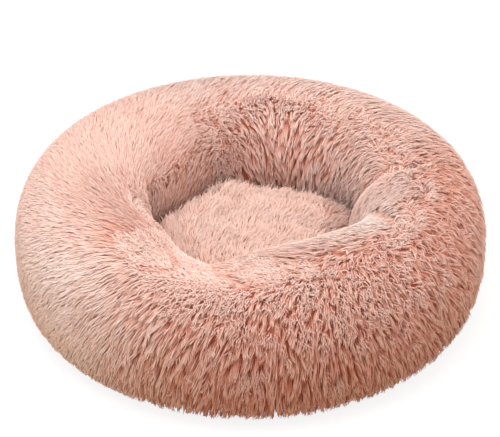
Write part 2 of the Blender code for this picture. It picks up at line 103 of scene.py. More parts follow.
def plug(tree, node, inputs: dict) -> None:
    """Set inputs of a node, each to a value or to the output socket that drives it."""
    for socket, value in inputs.items():
        if isinstance(value, bpy.types.NodeSocket):
            tree.links.new(value, node.inputs[socket])
        else:
            node.inputs[socket].default_value = value


def add_node(tree, kind: str, inputs: dict | None = None, stops: dict | None = None, **settings):
    """Add a node with its settings, its values and its links.

    Args:
        tree: The node tree that gets the node.
        kind: The node's type name.
        inputs: Socket name or number to a value, or to the output socket to link.
        stops: For a colour ramp, place along it to sRGB hex colour.
        settings: Properties of the node itself.

    Returns:
        The new node.
    """
    node = tree.nodes.new(kind)
    for name, value in settings.items():
        setattr(node, name, value)
    plug(tree, node, inputs or {})
    if stops:
        elements = node.color_ramp.elements
        while len(elements) < len(stops):
            elements.new(0.5)
        for element, (place, code) in zip(elements, sorted(stops.items())):
            element.position = place
            element.color = linear(code)
    return node


@dataclass(frozen=True)
class Finish:
    """A surface, named for its material and for how it was made."""

    name: str

    def surface(self, tree) -> dict:
        """Add the finish's own nodes.

        Args:
            tree: The material's node tree.

        Returns:
            The shader's inputs, each with its value or with the socket that drives it.
        """
        raise NotImplementedError

    def build(self):
        """Make the material from the finish's nodes and its shader."""
        material = bpy.data.materials.new(self.name)
        material.use_nodes = True
        tree = material.node_tree
        plug(tree, tree.nodes["Principled BSDF"], self.surface(tree))
        return material


@dataclass(frozen=True)
class PileFinish(Finish):
    """Dyed polyester pile, drawn fibre cut and brushed up: its thin tips are paler than its roots,
    whose deep colour is also painted shade for the dim light low in the pile.

    Pale and deep list the colours of the palest and the deepest fibres, from root to tip.
    """

    pale: tuple[str, str, str]
    deep: tuple[str, str, str]
    places: tuple = (0.0, 0.5, 1.0)
    roughness: float = 0.6
    specular: float = 0.1

    def surface(self, tree) -> dict:
        """As in Finish. Each fibre's tone and length come from its map."""
        place = add_node(tree, "ShaderNodeUVMap", uv_map=PILE_MAP)
        parts = add_node(tree, "ShaderNodeSeparateXYZ", {"Vector": place.outputs["UV"]})
        # The fibre is deep at its root, partly as painted shade low in the pile, and thin and pale at
        # its tip.
        along = {"Fac": parts.outputs["Y"]}
        deep = add_node(tree, "ShaderNodeValToRGB", along, dict(zip(self.places, self.deep)))
        pale = add_node(tree, "ShaderNodeValToRGB", along, dict(zip(self.places, self.pale)))
        mixed = add_node(
            tree,
            "ShaderNodeMix",
            {MIX_FACTOR: parts.outputs["X"], MIX_FIRST: deep.outputs[0], MIX_SECOND: pale.outputs[0]},
            data_type="RGBA",
        )
        return {
            "Base Color": mixed.outputs[MIX_RESULT],
            "Roughness": self.roughness,
            "Specular IOR Level": self.specular,
        }


@dataclass(frozen=True)
class WovenCloth(Finish):
    """Plain-woven polyester: threads go over and under each other, and a coat may seal them."""

    thread: float
    warp: str
    weft: str
    roughness: float = 0.8
    bump: float = 0.00008
    sheen: float = 0.2
    coat: float = 0.0
    unevenness: float = 0.12

    def surface(self, tree) -> dict:
        """As in Finish. The two sets of threads show in the colour and the relief."""
        where = add_node(tree, "ShaderNodeTexCoord").outputs["Object"]
        scale = WAVE_LENGTH / (2 * self.thread)
        values = {"Vector": where, "Scale": scale, "Distortion": 0.4, "Detail": 1.0}
        sets = [
            add_node(tree, "ShaderNodeTexWave", values, bands_direction=direction).outputs["Fac"]
            for direction in ("X", "Y")
        ]
        pair = dict(enumerate(sets))
        # Where one set lies over the other, its own colour shows: a fine check of two tones.
        over = add_node(tree, "ShaderNodeMath", pair, operation="GREATER_THAN").outputs[0]
        threads = add_node(
            tree,
            "ShaderNodeMix",
            {MIX_FACTOR: over, MIX_FIRST: linear(self.weft), MIX_SECOND: linear(self.warp)},
            data_type="RGBA",
        ).outputs[MIX_RESULT]
        # Dye takes unevenly over a hand's breadth.
        shade = add_node(tree, "ShaderNodeTexNoise", {"Vector": where, "Scale": 30.0}).outputs["Fac"]
        uneven = add_node(
            tree,
            "ShaderNodeMix",
            {MIX_FACTOR: self.unevenness, MIX_FIRST: threads, MIX_SECOND: shade},
            data_type="RGBA",
            blend_type="SOFT_LIGHT",
        )
        height = add_node(tree, "ShaderNodeMath", pair, operation="MAXIMUM").outputs[0]
        relief = add_node(tree, "ShaderNodeBump", {"Height": height, "Distance": self.bump})
        return {
            "Base Color": uneven.outputs[MIX_RESULT],
            "Normal": relief.outputs[0],
            "Roughness": self.roughness,
            "Sheen Weight": self.sheen,
            "Coat Weight": self.coat,
        }


@dataclass(frozen=True)
class BondedCloth(Finish):
    """Spunbonded polypropylene: loose fibres pressed together at a grid of small hot points."""

    color: str
    shade: str
    point_spacing: float = 0.0024
    point_depth: float = 0.0003
    roughness: float = 0.85

    def surface(self, tree) -> dict:
        """As in Finish. The points are sunk, and loose fibres mottle the rest."""
        where = add_node(tree, "ShaderNodeTexCoord").outputs["Object"]
        grid = {"Vector": where, "Scale": 1 / self.point_spacing, "Randomness": 0.15}
        points = add_node(tree, "ShaderNodeTexVoronoi", grid).outputs["Distance"]
        strands = {"Vector": where, "Scale": 900.0, "Detail": 4.0}
        fibres = add_node(tree, "ShaderNodeTexNoise", strands).outputs["Fac"]
        stops = {0.3: self.shade, 0.7: self.color}
        cloth = add_node(tree, "ShaderNodeValToRGB", {"Fac": fibres}, stops)
        sunk = add_node(tree, "ShaderNodeMath", {0: points, 1: 0.3}, operation="MINIMUM").outputs[0]
        relief = add_node(tree, "ShaderNodeBump", {"Height": sunk, "Distance": self.point_depth})
        return {
            "Base Color": cloth.outputs[0],
            "Normal": relief.outputs[0],
            "Roughness": self.roughness,
        }


@dataclass(frozen=True)
class FibreFill(Finish):
    """Carded hollow polyester fibre: a white tangle, soft and matt."""

    color: str
    shade: str
    strand: float = 0.0012
    relief: float = 0.001
    roughness: float = 0.95
    sheen: float = 0.3

    def surface(self, tree) -> dict:
        """As in Finish. Drawn-out noise stands for the tangle."""
        where = add_node(tree, "ShaderNodeTexCoord").outputs["Object"]
        drawn = {"Vector": where, "Scale": 0.1 / self.strand, "Detail": 5.0, "Distortion": 2.5}
        tangle = add_node(tree, "ShaderNodeTexNoise", drawn).outputs["Fac"]
        stops = {0.35: self.shade, 0.65: self.color}
        cloud = add_node(tree, "ShaderNodeValToRGB", {"Fac": tangle}, stops)
        relief = add_node(tree, "ShaderNodeBump", {"Height": tangle, "Distance": self.relief})
        return {
            "Base Color": cloud.outputs[0],
            "Normal": relief.outputs[0],
            "Roughness": self.roughness,
            "Sheen Weight": self.sheen,
        }


@dataclass(frozen=True)
class Moulded(Finish):
    """Moulded or extruded plastic or rubber: an even colour with a faint mould grain."""

    color: str
    worn: str
    roughness: float
    roughened: float = 0.15
    grain: float = 0.0006
    grain_depth: float = 0.00003

    def surface(self, tree) -> dict:
        """As in Finish. Patches that are handled are slightly paler and rougher."""
        where = add_node(tree, "ShaderNodeTexCoord").outputs["Object"]
        fine = {"Vector": where, "Scale": 1 / self.grain}
        grain = add_node(tree, "ShaderNodeTexNoise", fine).outputs["Fac"]
        broad = {"Vector": where, "Scale": 60.0, "Detail": 3.0}
        patches = add_node(tree, "ShaderNodeTexNoise", broad).outputs["Fac"]
        stops = {0.35: self.color, 0.75: self.worn}
        skin = add_node(tree, "ShaderNodeValToRGB", {"Fac": patches}, stops)
        span = {"To Min": self.roughness, "To Max": self.roughness + self.roughened}
        rough = add_node(tree, "ShaderNodeMapRange", {"Value": patches, **span})
        relief = add_node(tree, "ShaderNodeBump", {"Height": grain, "Distance": self.grain_depth})
        return {
            "Base Color": skin.outputs[0],
            "Roughness": rough.outputs[0],
            "Normal": relief.outputs[0],
        }


@dataclass(frozen=True)
class TumbledZinc(Finish):
    """Die-cast zinc, tumbled and nickel plated: a soft grey shine with small dents and rubs."""

    color: str
    rubbed: str
    roughest: float = 0.4
    smoothest: float = 0.22
    rub_size: float = 0.0006
    dent_depth: float = 0.00001

    def surface(self, tree) -> dict:
        """As in Finish. Rubbed spots are brighter and smoother."""
        where = add_node(tree, "ShaderNodeTexCoord").outputs["Object"]
        spots = {"Vector": where, "Scale": 1 / self.rub_size, "Detail": 4.0}
        rubs = add_node(tree, "ShaderNodeTexNoise", spots).outputs["Fac"]
        stops = {0.4: self.color, 0.7: self.rubbed}
        metal = add_node(tree, "ShaderNodeValToRGB", {"Fac": rubs}, stops)
        span = {"To Min": self.roughest, "To Max": self.smoothest}
        rough = add_node(tree, "ShaderNodeMapRange", {"Value": rubs, **span})
        relief = add_node(tree, "ShaderNodeBump", {"Height": rubs, "Distance": self.dent_depth})
        return {
            "Base Color": metal.outputs[0],
            "Roughness": rough.outputs[0],
            "Normal": relief.outputs[0],
            "Metallic": 1.0,
        }


@dataclass(frozen=True)
class Stroke:
    """How the ring's pile lies about one place.

    The angle goes round the bed and the turn round the section. Facing is the way the tips
    point along the surface, in degrees: 0 is up the outer wall and down into the nest, 90 is
    counterclockwise seen from above, 180 is outward and down, and 270 is clockwise. Clump
    draws the pile into locks, chaos ruffles it and depth presses it down. Pale lightens or
    deepens the colour: painted light and painted shade for how brightly each place is lit.
    """

    angle: float
    turn: float
    facing: float
    clump: float = 0.3
    chaos: float = 0.0
    depth: float = 1.0
    half_angle: float = 17.0
    half_turn: float = 26.0
    # Above 0 this is painted light, below 0 painted shade.
    pale: float = 0.0

    def weight(self, angle: np.ndarray, turn: np.ndarray) -> np.ndarray:
        """Share of the stroke's effect at each place."""
        away = np.abs((angle - self.angle + 180) % 360 - 180) / self.half_angle
        across = (turn - self.turn) / self.half_turn
        return np.exp(-(away ** 2) - across ** 2)


@dataclass(frozen=True)
class Fold:
    """A line along which the cover folds in and presses its pile down.

    The path lists places by angle and turn, and the half width is in degrees round the bed. Shade
    deepens the pile's colour along the line: painted shade in the crease.
    """

    path: tuple
    half_width: float = 2.2
    press: float = 0.8
    turn_share: float = 0.5
    # Painted shade: how much the fold deepens the pile's colour.
    shade: float = 0.6

    def weight(self, angle: np.ndarray, turn: np.ndarray) -> np.ndarray:
        """Share of the fold's press at each place."""
        least = np.full(angle.shape, 1e6)
        for (angle_1, turn_1), (angle_2, turn_2) in zip(self.path, self.path[1:]):
            across = (angle - angle_1 + 180) % 360 - 180
            along = (turn - turn_1) * self.turn_share
            way = (angle_2 - angle_1, (turn_2 - turn_1) * self.turn_share)
            size = way[0] ** 2 + way[1] ** 2
            share = np.clip((across * way[0] + along * way[1]) / size, 0, 1)
            away = (across - share * way[0]) ** 2 + (along - share * way[1]) ** 2
            least = np.minimum(least, away)
        return self.press * np.exp(-least / self.half_width ** 2)


@dataclass(frozen=True)
class RingBrushing:
    """The strokes of the whole ring, as the photograph shows them."""

    outer_wall: tuple = (
        Stroke(15, -32, 205, 0.3, 0.0, 0.1, 5, 14),
        Stroke(0, 5, 178, 0.55, pale=0.16),
        Stroke(30, 5, 190, 0.4),
        Stroke(62, 5, 195, 0.4),
        Stroke(92, 5, 200, 0.35),
        Stroke(120, 5, 232, 0.15),
        Stroke(150, 5, 232, 0.1),
        Stroke(180, 5, 228, 0.08),
        Stroke(203, 5, 222, 0.2, pale=0.2),
        Stroke(222, 5, 218, 0.2, pale=0.5),
        Stroke(246, 5, 195, 0.8, pale=0.15),
        Stroke(270, 5, 188, 1.0, pale=-0.06),
        Stroke(290, 5, 175, 1.0, pale=-0.06),
        Stroke(310, 5, 153, 0.9, pale=-0.06),
        Stroke(333, 5, 156, 0.75, pale=0.1),
    )
    shoulder: tuple = (
        Stroke(0, 55, 178, 0.6, 0.1, pale=-0.12),
        Stroke(30, 55, 220, 0.28, pale=0.08),
        Stroke(60, 55, 228, 0.18, pale=0.1),
        Stroke(90, 55, 228, 0.18, pale=0.1),
        Stroke(120, 55, 236, 0.15),
        Stroke(150, 55, 236, 0.1, pale=-0.1),
        Stroke(180, 55, 232, 0.08, pale=-0.06),
        Stroke(203, 55, 228, 0.2, pale=0.18),
        Stroke(222, 55, 225, 0.18, pale=0.5),
        Stroke(246, 55, 207, 0.75, pale=0.15),
        Stroke(270, 55, 203, 1.0, 0.05, pale=-0.06),
        Stroke(292, 55, 190, 0.95, 0.15, pale=-0.06),
        Stroke(312, 55, 160, 0.85, 0.25, pale=-0.06),
        Stroke(335, 55, 158, 0.75, 0.1, pale=-0.12),
    )
    crown: tuple = (
        Stroke(0, 78, 215, 0.6, 0.55, 1.0, 14, 16, pale=-0.18),
        Stroke(28, 86, 228, 0.3, 0.2, pale=0.08),
        Stroke(56, 88, 228, 0.22, 0.1, pale=0.14),
        Stroke(86, 88, 228, 0.22, 0.1, pale=0.14),
        Stroke(114, 88, 236, 0.2, pale=0.08),
        Stroke(146, 88, 240, 0.12, pale=-0.18),
        Stroke(180, 86, 238, 0.1, pale=-0.18),
        Stroke(205, 86, 236, 0.15, pale=-0.2),
        Stroke(222, 84, 236, 0.25, pale=-0.3),
        Stroke(236, 94, 60, 0.7, 0.4, 0.3, 7, 14, pale=-0.35),
        Stroke(252, 90, 280, 0.5, 0.05, 0.75, pale=-0.4),
        Stroke(272, 90, 280, 0.3, 0.05, 0.85),
        Stroke(292, 84, 250, 0.6, 0.5),
        Stroke(311, 73, 205, 0.8, 0.85, 1.0, 15, 12),
        Stroke(329, 74, 195, 0.8, 0.75, 1.0, 15, 13, pale=-0.1),
        Stroke(346, 76, 205, 0.75, 0.7, 1.0, 14, 14, pale=-0.2),
        Stroke(309, 96, 285, 0.1, 0.0, 0.9, 13, 15, pale=0.15),
        Stroke(327, 102, 282, 0.05, 0.0, 1.0, 13, 15, pale=0.25),
        Stroke(345, 106, 295, 0.08, 0.0, 1.0, 11, 14, pale=-0.06),
    )
    inner_shoulder: tuple = (
        Stroke(350, 128, 300, 0.1, 0.0, 1.0, 9, pale=-0.1),
        Stroke(16, 128, 15, 0.45, 0.1, 1.0, 11, pale=0.2),
        Stroke(38, 126, 5, 0.5, 0.1, pale=0.15),
        Stroke(56, 126, 0, 0.75, 0.1, pale=0.08),
        Stroke(70, 124, 350, 0.8, 0.15, pale=0.15),
        Stroke(90, 124, 325, 0.95, 0.2, pale=0.15),
        Stroke(113, 124, 80, 0.35, 0.1, 1.0, 10),
        Stroke(133, 126, 252, 0.2, 0.05, pale=-0.16),
        Stroke(158, 126, 246, 0.12, pale=-0.1),
        Stroke(184, 126, 242, 0.1, pale=-0.1),
        Stroke(203, 116, 240, 0.15, 0.0, 1.0, 12, 16, pale=-0.26),
        Stroke(224, 112, 236, 0.3, 0.1, 0.9, 12, 16, pale=-0.3),
        Stroke(196, 142, 335, 0.5, 0.15, 1.1, 14, 15),
        Stroke(218, 134, 325, 0.5, 0.15, 1.1, 13, 15),
        Stroke(248, 118, 295, 0.25, 0.0, 0.6, pale=-0.1),
        Stroke(274, 118, 295, 0.25, 0.0, 0.7),
        Stroke(300, 122, 292, 0.2, pale=0.1),
        Stroke(320, 126, 285, 0.12, pale=0.2),
        Stroke(336, 128, 288, 0.1),
    )
    inner_wall: tuple = (
        Stroke(2, 172, 305, 0.1, 0.0, 1.0, 12, pale=-0.06),
        Stroke(30, 175, 10, 0.5, 0.0, 1.0, 12, pale=0.5),
        Stroke(50, 172, 0, 0.75, pale=0.4),
        Stroke(72, 172, 0, 0.9, pale=0.15),
        Stroke(92, 172, 335, 0.95, 0.1, pale=0.15),
        Stroke(113, 178, 60, 0.45, 0.1, 1.0, 10),
        Stroke(135, 184, 50, 0.25, pale=-0.16),
        Stroke(160, 186, 40, 0.15, pale=-0.1),
        Stroke(190, 186, 30, 0.12, pale=-0.05),
        Stroke(216, 180, 20, 0.4),
        Stroke(250, 172, 330, 0.25),
        Stroke(290, 172, 340, 0.25),
        Stroke(335, 172, 300, 0.12),
    )
    folds: tuple = (
        Fold(((4, 92), (6, 106), (9, 124), (14, 146), (20, 168)), 2.0, 0.9),
        Fold(((329, 92), (333, 102), (337, 112)), 1.6, 0.7),
        Fold(((106, 118), (104, 140), (102, 166)), 2.2, 0.8),
        Fold(((162, 150), (160, 176)), 2.5, 0.5),
        Fold(((264, 82), (259, 96), (254, 112), (248, 140)), 8.0, 0.55, 0.5, 0.35),
        Fold(((290, 88), (276, 92), (262, 92)), 6.0, 0.3, 0.5, 0.0),
    )

    def at(self, angle: np.ndarray, turn: np.ndarray) -> dict[str, np.ndarray]:
        """Average the strokes that act on each place.

        Args:
            angle: Directions round the bed.
            turn: Turns round the section.

        Returns:
            The way the pile faces and the line it lies along, both as complex numbers whose
            real part points inward, and the shares of all other effects.
        """
        strokes = self.outer_wall + self.shoulder + self.crown
        strokes = strokes + self.inner_shoulder + self.inner_wall
        facing = np.zeros(angle.shape, dtype=complex)
        line = np.zeros(angle.shape, dtype=complex)
        totals = {name: np.zeros(angle.shape) for name in ("clump", "chaos", "depth", "pale")}
        sum_of_weights = np.full(angle.shape, 1e-6)
        for stroke in strokes:
            weight = stroke.weight(angle, turn)
            sum_of_weights += weight
            way = np.exp(1j * math.radians(stroke.facing))
            facing += weight * way
            # Opposite ways share one line, so the squares are averaged.
            line += weight * way ** 2
            for name, total in totals.items():
                total += weight * getattr(stroke, name)
        lie = {name: total / sum_of_weights for name, total in totals.items()}
        lie["fold"] = np.zeros(angle.shape)
        # Folds deepen the pile's colour along their lines: painted shade in the creases.
        lie["shade"] = np.zeros(angle.shape)
        for fold in self.folds:
            weight = fold.weight(angle, turn)
            lie["fold"] = np.maximum(lie["fold"], weight)
            lie["shade"] = np.maximum(lie["shade"], weight * fold.shade)
        lie["depth"] = lie["depth"] * (1 - lie["fold"])
        line = np.sqrt(line)
        lie["line"] = line / (np.abs(line) + 1e-9)
        lie["facing"] = facing / sum_of_weights
        return lie


def unit(vectors: np.ndarray) -> np.ndarray:
    """Vectors along the last axis, brought to length 1."""
    return vectors / (np.linalg.norm(vectors, axis=-1, keepdims=True) + 1e-12)


def around_z(radius: np.ndarray, angle: np.ndarray, height) -> np.ndarray:
    """Points at a radius, a direction in degrees and a height."""
    turn = np.radians(angle)
    return np.stack(np.broadcast_arrays(radius * np.cos(turn), radius * np.sin(turn), height), axis=-1)


def band(first: int, second: int, count: int) -> list[tuple]:
    """Faces between two closed outlines of count points, from their first points' numbers."""
    sides = [(place, (place + 1) % count) for place in range(count)]
    return [(first + a, first + b, second + b, second + a) for a, b in sides]


@dataclass
class Bolster:
    """The ring's section and its gathers, as the frame has them."""

    outer_half_width: float = 0.0695
    inner_half_width: float = 0.0725
    widest_height: float = 0.078
    base_stack: float = 0.0058
    pile_face: float = 0.0178
    backing_face: float = 0.0033
    upper_exponent: float = 2.45
    lower_exponent: float = 2.8
    crease_angles: tuple = (24, 106, 164, 242, 331)
    crease_leans: tuple = (-20, 0, 0, 15, 0)
    crease_near_half_angles: tuple = (13, 13, 11, 15, 17)
    crease_far_half_angles: tuple = (26, 13, 11, 15, 17)
    deepest_crease: float = 0.031
    crease_shares: tuple = (0.85, 0.7, 0.28, 1.0, 0.55)
    crease_turns: tuple = (60, 165, 205, 255)
    foot_turn: float = -52
    zip_foot_turn: float = -25
    zip_arc: tuple = (18, 162, 7)
    zip_turn: float = -40
    zip_tape_face: float = 0.0014
    table_steps: int = 1440

    def __post_init__(self) -> None:
        """Take the ring's size from the frame, and measure the section's length."""
        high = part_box("ring_cover")[1]
        self.ring_radius = high[0] - self.pile_face - self.outer_half_width
        self.crown_height = high[2] - self.pile_face
        self.turns = np.linspace(-90, 270, self.table_steps + 1)
        x, z = self.section(self.turns, self.backing_face)
        steps = np.hypot(np.diff(x), np.diff(z))
        self.lengths = np.concatenate([[0.0], np.cumsum(steps)])

    def section(self, turn: np.ndarray, offset) -> tuple[np.ndarray, np.ndarray]:
        """Section's point about its centre, before the gathers.

        Args:
            turn: Turns round the section.
            offset: Distance out from the liner's face.

        Returns:
            Distances out from and up from the section's centre.
        """
        across, up = np.cos(np.radians(turn)), np.sin(np.radians(turn))
        power = np.where(up > 0, 2 / self.upper_exponent, 2 / self.lower_exponent)
        width = np.where(across > 0, self.outer_half_width, self.inner_half_width)
        above = self.crown_height - self.widest_height
        below = self.widest_height - self.base_stack
        height = np.where(up > 0, above, below)
        x = (width + offset) * np.sign(across) * np.abs(across) ** power
        z = (height + offset) * np.sign(up) * np.abs(up) ** power
        return x, z

    def crease_depth(self, angle: np.ndarray, turn: np.ndarray) -> np.ndarray:
        """How far the gathers draw the wall in at each place."""
        start, full, fade, end = self.crease_turns
        rise = smooth_step(turn, start, full) * (1 - smooth_step(turn, fade, end))
        climb = np.clip((180 - turn) / 90, 0, 1)
        depth = np.zeros(np.broadcast(angle, turn).shape)
        half_angles = zip(self.crease_near_half_angles, self.crease_far_half_angles)
        table = zip(self.crease_angles, self.crease_leans, half_angles, self.crease_shares)
        for center, lean, (near, far), share in table:
            away = (angle - center - lean * climb + 180) % 360 - 180
            depth = depth + share * np.exp(-(away / np.where(away < 0, near, far)) ** 2)
        return self.deepest_crease * depth * rise

    def turn_at(self, length: np.ndarray) -> np.ndarray:
        """Turn of the section at a length along it from underneath, round the outside."""
        whole = self.lengths[-1]
        laps = np.floor(length / whole)
        return np.interp(length - laps * whole, self.lengths, self.turns) + 360 * laps

    def length_at(self, turn):
        """Length along the section at a turn."""
        return np.interp(turn, self.turns, self.lengths)

    def cover_foot(self, angle: np.ndarray) -> np.ndarray:
        """Turn of the cover's outer edge, which is higher over the zip."""
        start, end, run = self.zip_arc
        raised = smooth_step(angle % 360, start - run, start)
        raised = raised * (1 - smooth_step(angle % 360, end, end + run))
        return self.foot_turn + (self.zip_foot_turn - self.foot_turn) * raised

    def turns_for(self, length: float) -> float:
        """Degrees round the section, beside the zip, that a length takes."""
        turns = self.zip_turn + np.array([0.0, 1.0])
        ends = self.points(np.array([90.0, 90.0]), turns, self.zip_tape_face)
        return length / float(np.linalg.norm(ends[1] - ends[0]))

    def angle_for(self, length: float) -> float:
        """Degrees round the bed, at the zip, that a length takes."""
        place = self.points(np.array([90.0]), np.array([self.zip_turn]), self.backing_face)
        return math.degrees(length / float(np.hypot(*place[0, :2])))

    def points(self, angle: np.ndarray, turn: np.ndarray, offset) -> np.ndarray:
        """Points of the ring in the frame.

        Args:
            angle: Directions round the bed.
            turn: Turns round the section.
            offset: Distance out from the liner's face.

        Returns:
            One point for each place, with its coordinates along the last axis.
        """
        x, z = self.section(turn, offset)
        kept = 1 - self.crease_depth(angle, turn) / np.maximum(np.hypot(x, z), 1e-6)
        return around_z(self.ring_radius + x * kept, angle, self.widest_height + z * kept)


def smooth_step(value, start: float, end: float):
    """0 before start, 1 after end, and a smooth rise between them."""
    share = np.clip((value - start) / (end - start), 0.0, 1.0)
    return share * share * (3 - 2 * share)


def waves(points: np.ndarray, size: float, seed: int, count: int = 9) -> np.ndarray:
    """Smooth random values, about from -1 to 1, over points in space.

    Args:
        points: Points, with coordinates along the last axis.
        size: Typical distance between a rise and the next.
        seed: Seed of the random waves.
        count: How many waves are added.

    Returns:
        One value for each point.
    """
    random = np.random.default_rng(seed)
    directions = random.normal(size=(count, 3))
    directions /= np.linalg.norm(directions, axis=1, keepdims=True)
    rates = 2 * math.pi / size * random.uniform(0.6, 1.5, count)
    shifts = random.uniform(0, 2 * math.pi, count)
    total = np.zeros(points.shape[:-1])
    for direction, rate, shift in zip(directions, rates, shifts):
        total += np.sin(points @ direction * rate + shift)
    return total / math.sqrt(count / 2) / 1.6


@dataclass
class Pile:
    """Sizes of a pile's fibres, each a tapered bundle with a three-sided section."""

    spacing: float
    lock_spacing: float
    fine_lock_spacing: float
    depth: float
    reach: float
    half_width: float
    seed: int
    stations: tuple = (0.0, 0.28, 0.56, 0.82, 1.0)
    width_shares: tuple = (0.8, 1.0, 1.0, 0.8)
    lock_relief: float = 0.6
    bend: float = 0.0007
    flat: float = 0.22
    round: float = 0.6
    least_own: float = 0.12
    most_own: float = 0.45
    least_roll: float = 8
    most_roll: float = 38
    most_fibres: int = 9000


@dataclass
class Fibres:
    """Grown fibres: centre lines, the way each one faces, its tone, roll and roundness.

    Roundness is 0 for fibres combed flat, side by side, and 1 for the bundles of a lock.
    """

    lines: np.ndarray
    facing: np.ndarray
    tone: np.ndarray
    roll: np.ndarray
    roundness: np.ndarray

    def part(self, chosen: np.ndarray) -> "Fibres":
        """Some of the fibres."""
        return Fibres(*(getattr(self, entry.name)[chosen] for entry in fields(self)))

    def joined(self, other: "Fibres") -> "Fibres":
        """These fibres and some others."""
        pairs = ((getattr(self, entry.name), getattr(other, entry.name)) for entry in fields(self))
        return Fibres(*(np.concatenate(pair) for pair in pairs))


def fibre_mesh(name: str, fibres: Fibres, pile: Pile, material) -> bpy.types.Object:
    """Make one object from fibres: each a closed tapered tube, with its map.

    Args:
        name: The object's name.
        fibres: The fibres to make.
        pile: Their sizes.
        material: The pile's material.

    Returns:
        The new object.
    """
    lines = fibres.lines
    count, stations = lines.shape[:2]
    rings = stations - 1
    tangent = unit(np.gradient(lines, axis=1))
    side = unit(np.cross(tangent, fibres.facing[:, None, :]))
    upward = np.cross(side, tangent)
    corners = np.radians(np.array([0.0, 120.0, 240.0]))
    turned = corners[None, :] + fibres.roll[:, None]
    thickness = (pile.flat + (pile.round - pile.flat) * fibres.roundness)[:, None, None, None]
    reach = np.cos(turned)[:, None, :, None] * upward[:, :rings, None, :] * thickness
    reach = reach + np.sin(turned)[:, None, :, None] * side[:, :rings, None, :]
    widths = pile.half_width * np.array(pile.width_shares)
    tube = lines[:, :rings, None, :] + reach * widths[None, :, None, None]
    each = rings * 3 + 1
    points = np.empty((count, each, 3))
    points[:, :-1] = tube.reshape(count, rings * 3, 3)
    points[:, -1] = lines[:, -1]

    quads, triangles = [], [(2, 1, 0)]
    for ring in range(rings - 1):
        quads += band(ring * 3, ring * 3 + 3, 3)
    for corner in range(3):
        after = (corner + 1) % 3
        triangles.append((rings * 3 - 3 + corner, rings * 3 - 3 + after, rings * 3))
    own = np.array([i for face in quads + triangles for i in face])
    sizes = np.array([4] * len(quads) + [3] * len(triangles))
    starts = np.concatenate([[0], np.cumsum(sizes)[:-1]])
    vertex = (own[None, :] + each * np.arange(count)[:, None]).ravel()
    start = (starts[None, :] + len(own) * np.arange(count)[:, None]).ravel()

    mesh = bpy.data.meshes.new(name)
    mesh.vertices.add(count * each)
    mesh.vertices.foreach_set("co", points.ravel())
    mesh.loops.add(len(vertex))
    mesh.loops.foreach_set("vertex_index", vertex.astype(np.int32))
    mesh.polygons.add(len(start))
    mesh.polygons.foreach_set("loop_start", start.astype(np.int32))
    mesh.update(calc_edges=True)
    mesh.shade_smooth()
    # Light that passes through fine fibres evens out their shading, which their own faces
    # can't show, so each corner's normal leans towards the pile's own face.
    normals = np.empty((count, each, 3))
    own_share = pile.least_own + (pile.most_own - pile.least_own) * fibres.roundness
    own_share = own_share[:, None, None]
    normals[:, :-1] = unit(reach).reshape(count, rings * 3, 3) * own_share
    normals[:, -1:] = tangent[:, -1:] * own_share
    normals += fibres.facing[:, None, :] * (1 - own_share)
    mesh.normals_split_custom_set_from_vertices(unit(normals).reshape(-1, 3))

    along = np.append(np.repeat(np.array(pile.stations[:-1]), 3), 1.0)
    # Corners lie a little apart in the map, so that no face has an area of zero there.
    shift = np.append(np.tile(np.array([0.0, 0.01, 0.02]), rings), 0.01)
    across = fibres.tone[:, None] * 0.97 + 0.005 + shift[None, :]
    places = np.stack([across, np.broadcast_to(along, (count, each))], axis=-1)
    layer = mesh.uv_layers.new(name=PILE_MAP)
    layer.uv.foreach_set("vector", places.reshape(-1, 2)[vertex].astype(np.float32).ravel())
    mesh.materials.append(material)
    thing = bpy.data.objects.new(name, mesh)
    bpy.context.scene.collection.objects.link(thing)
    return thing


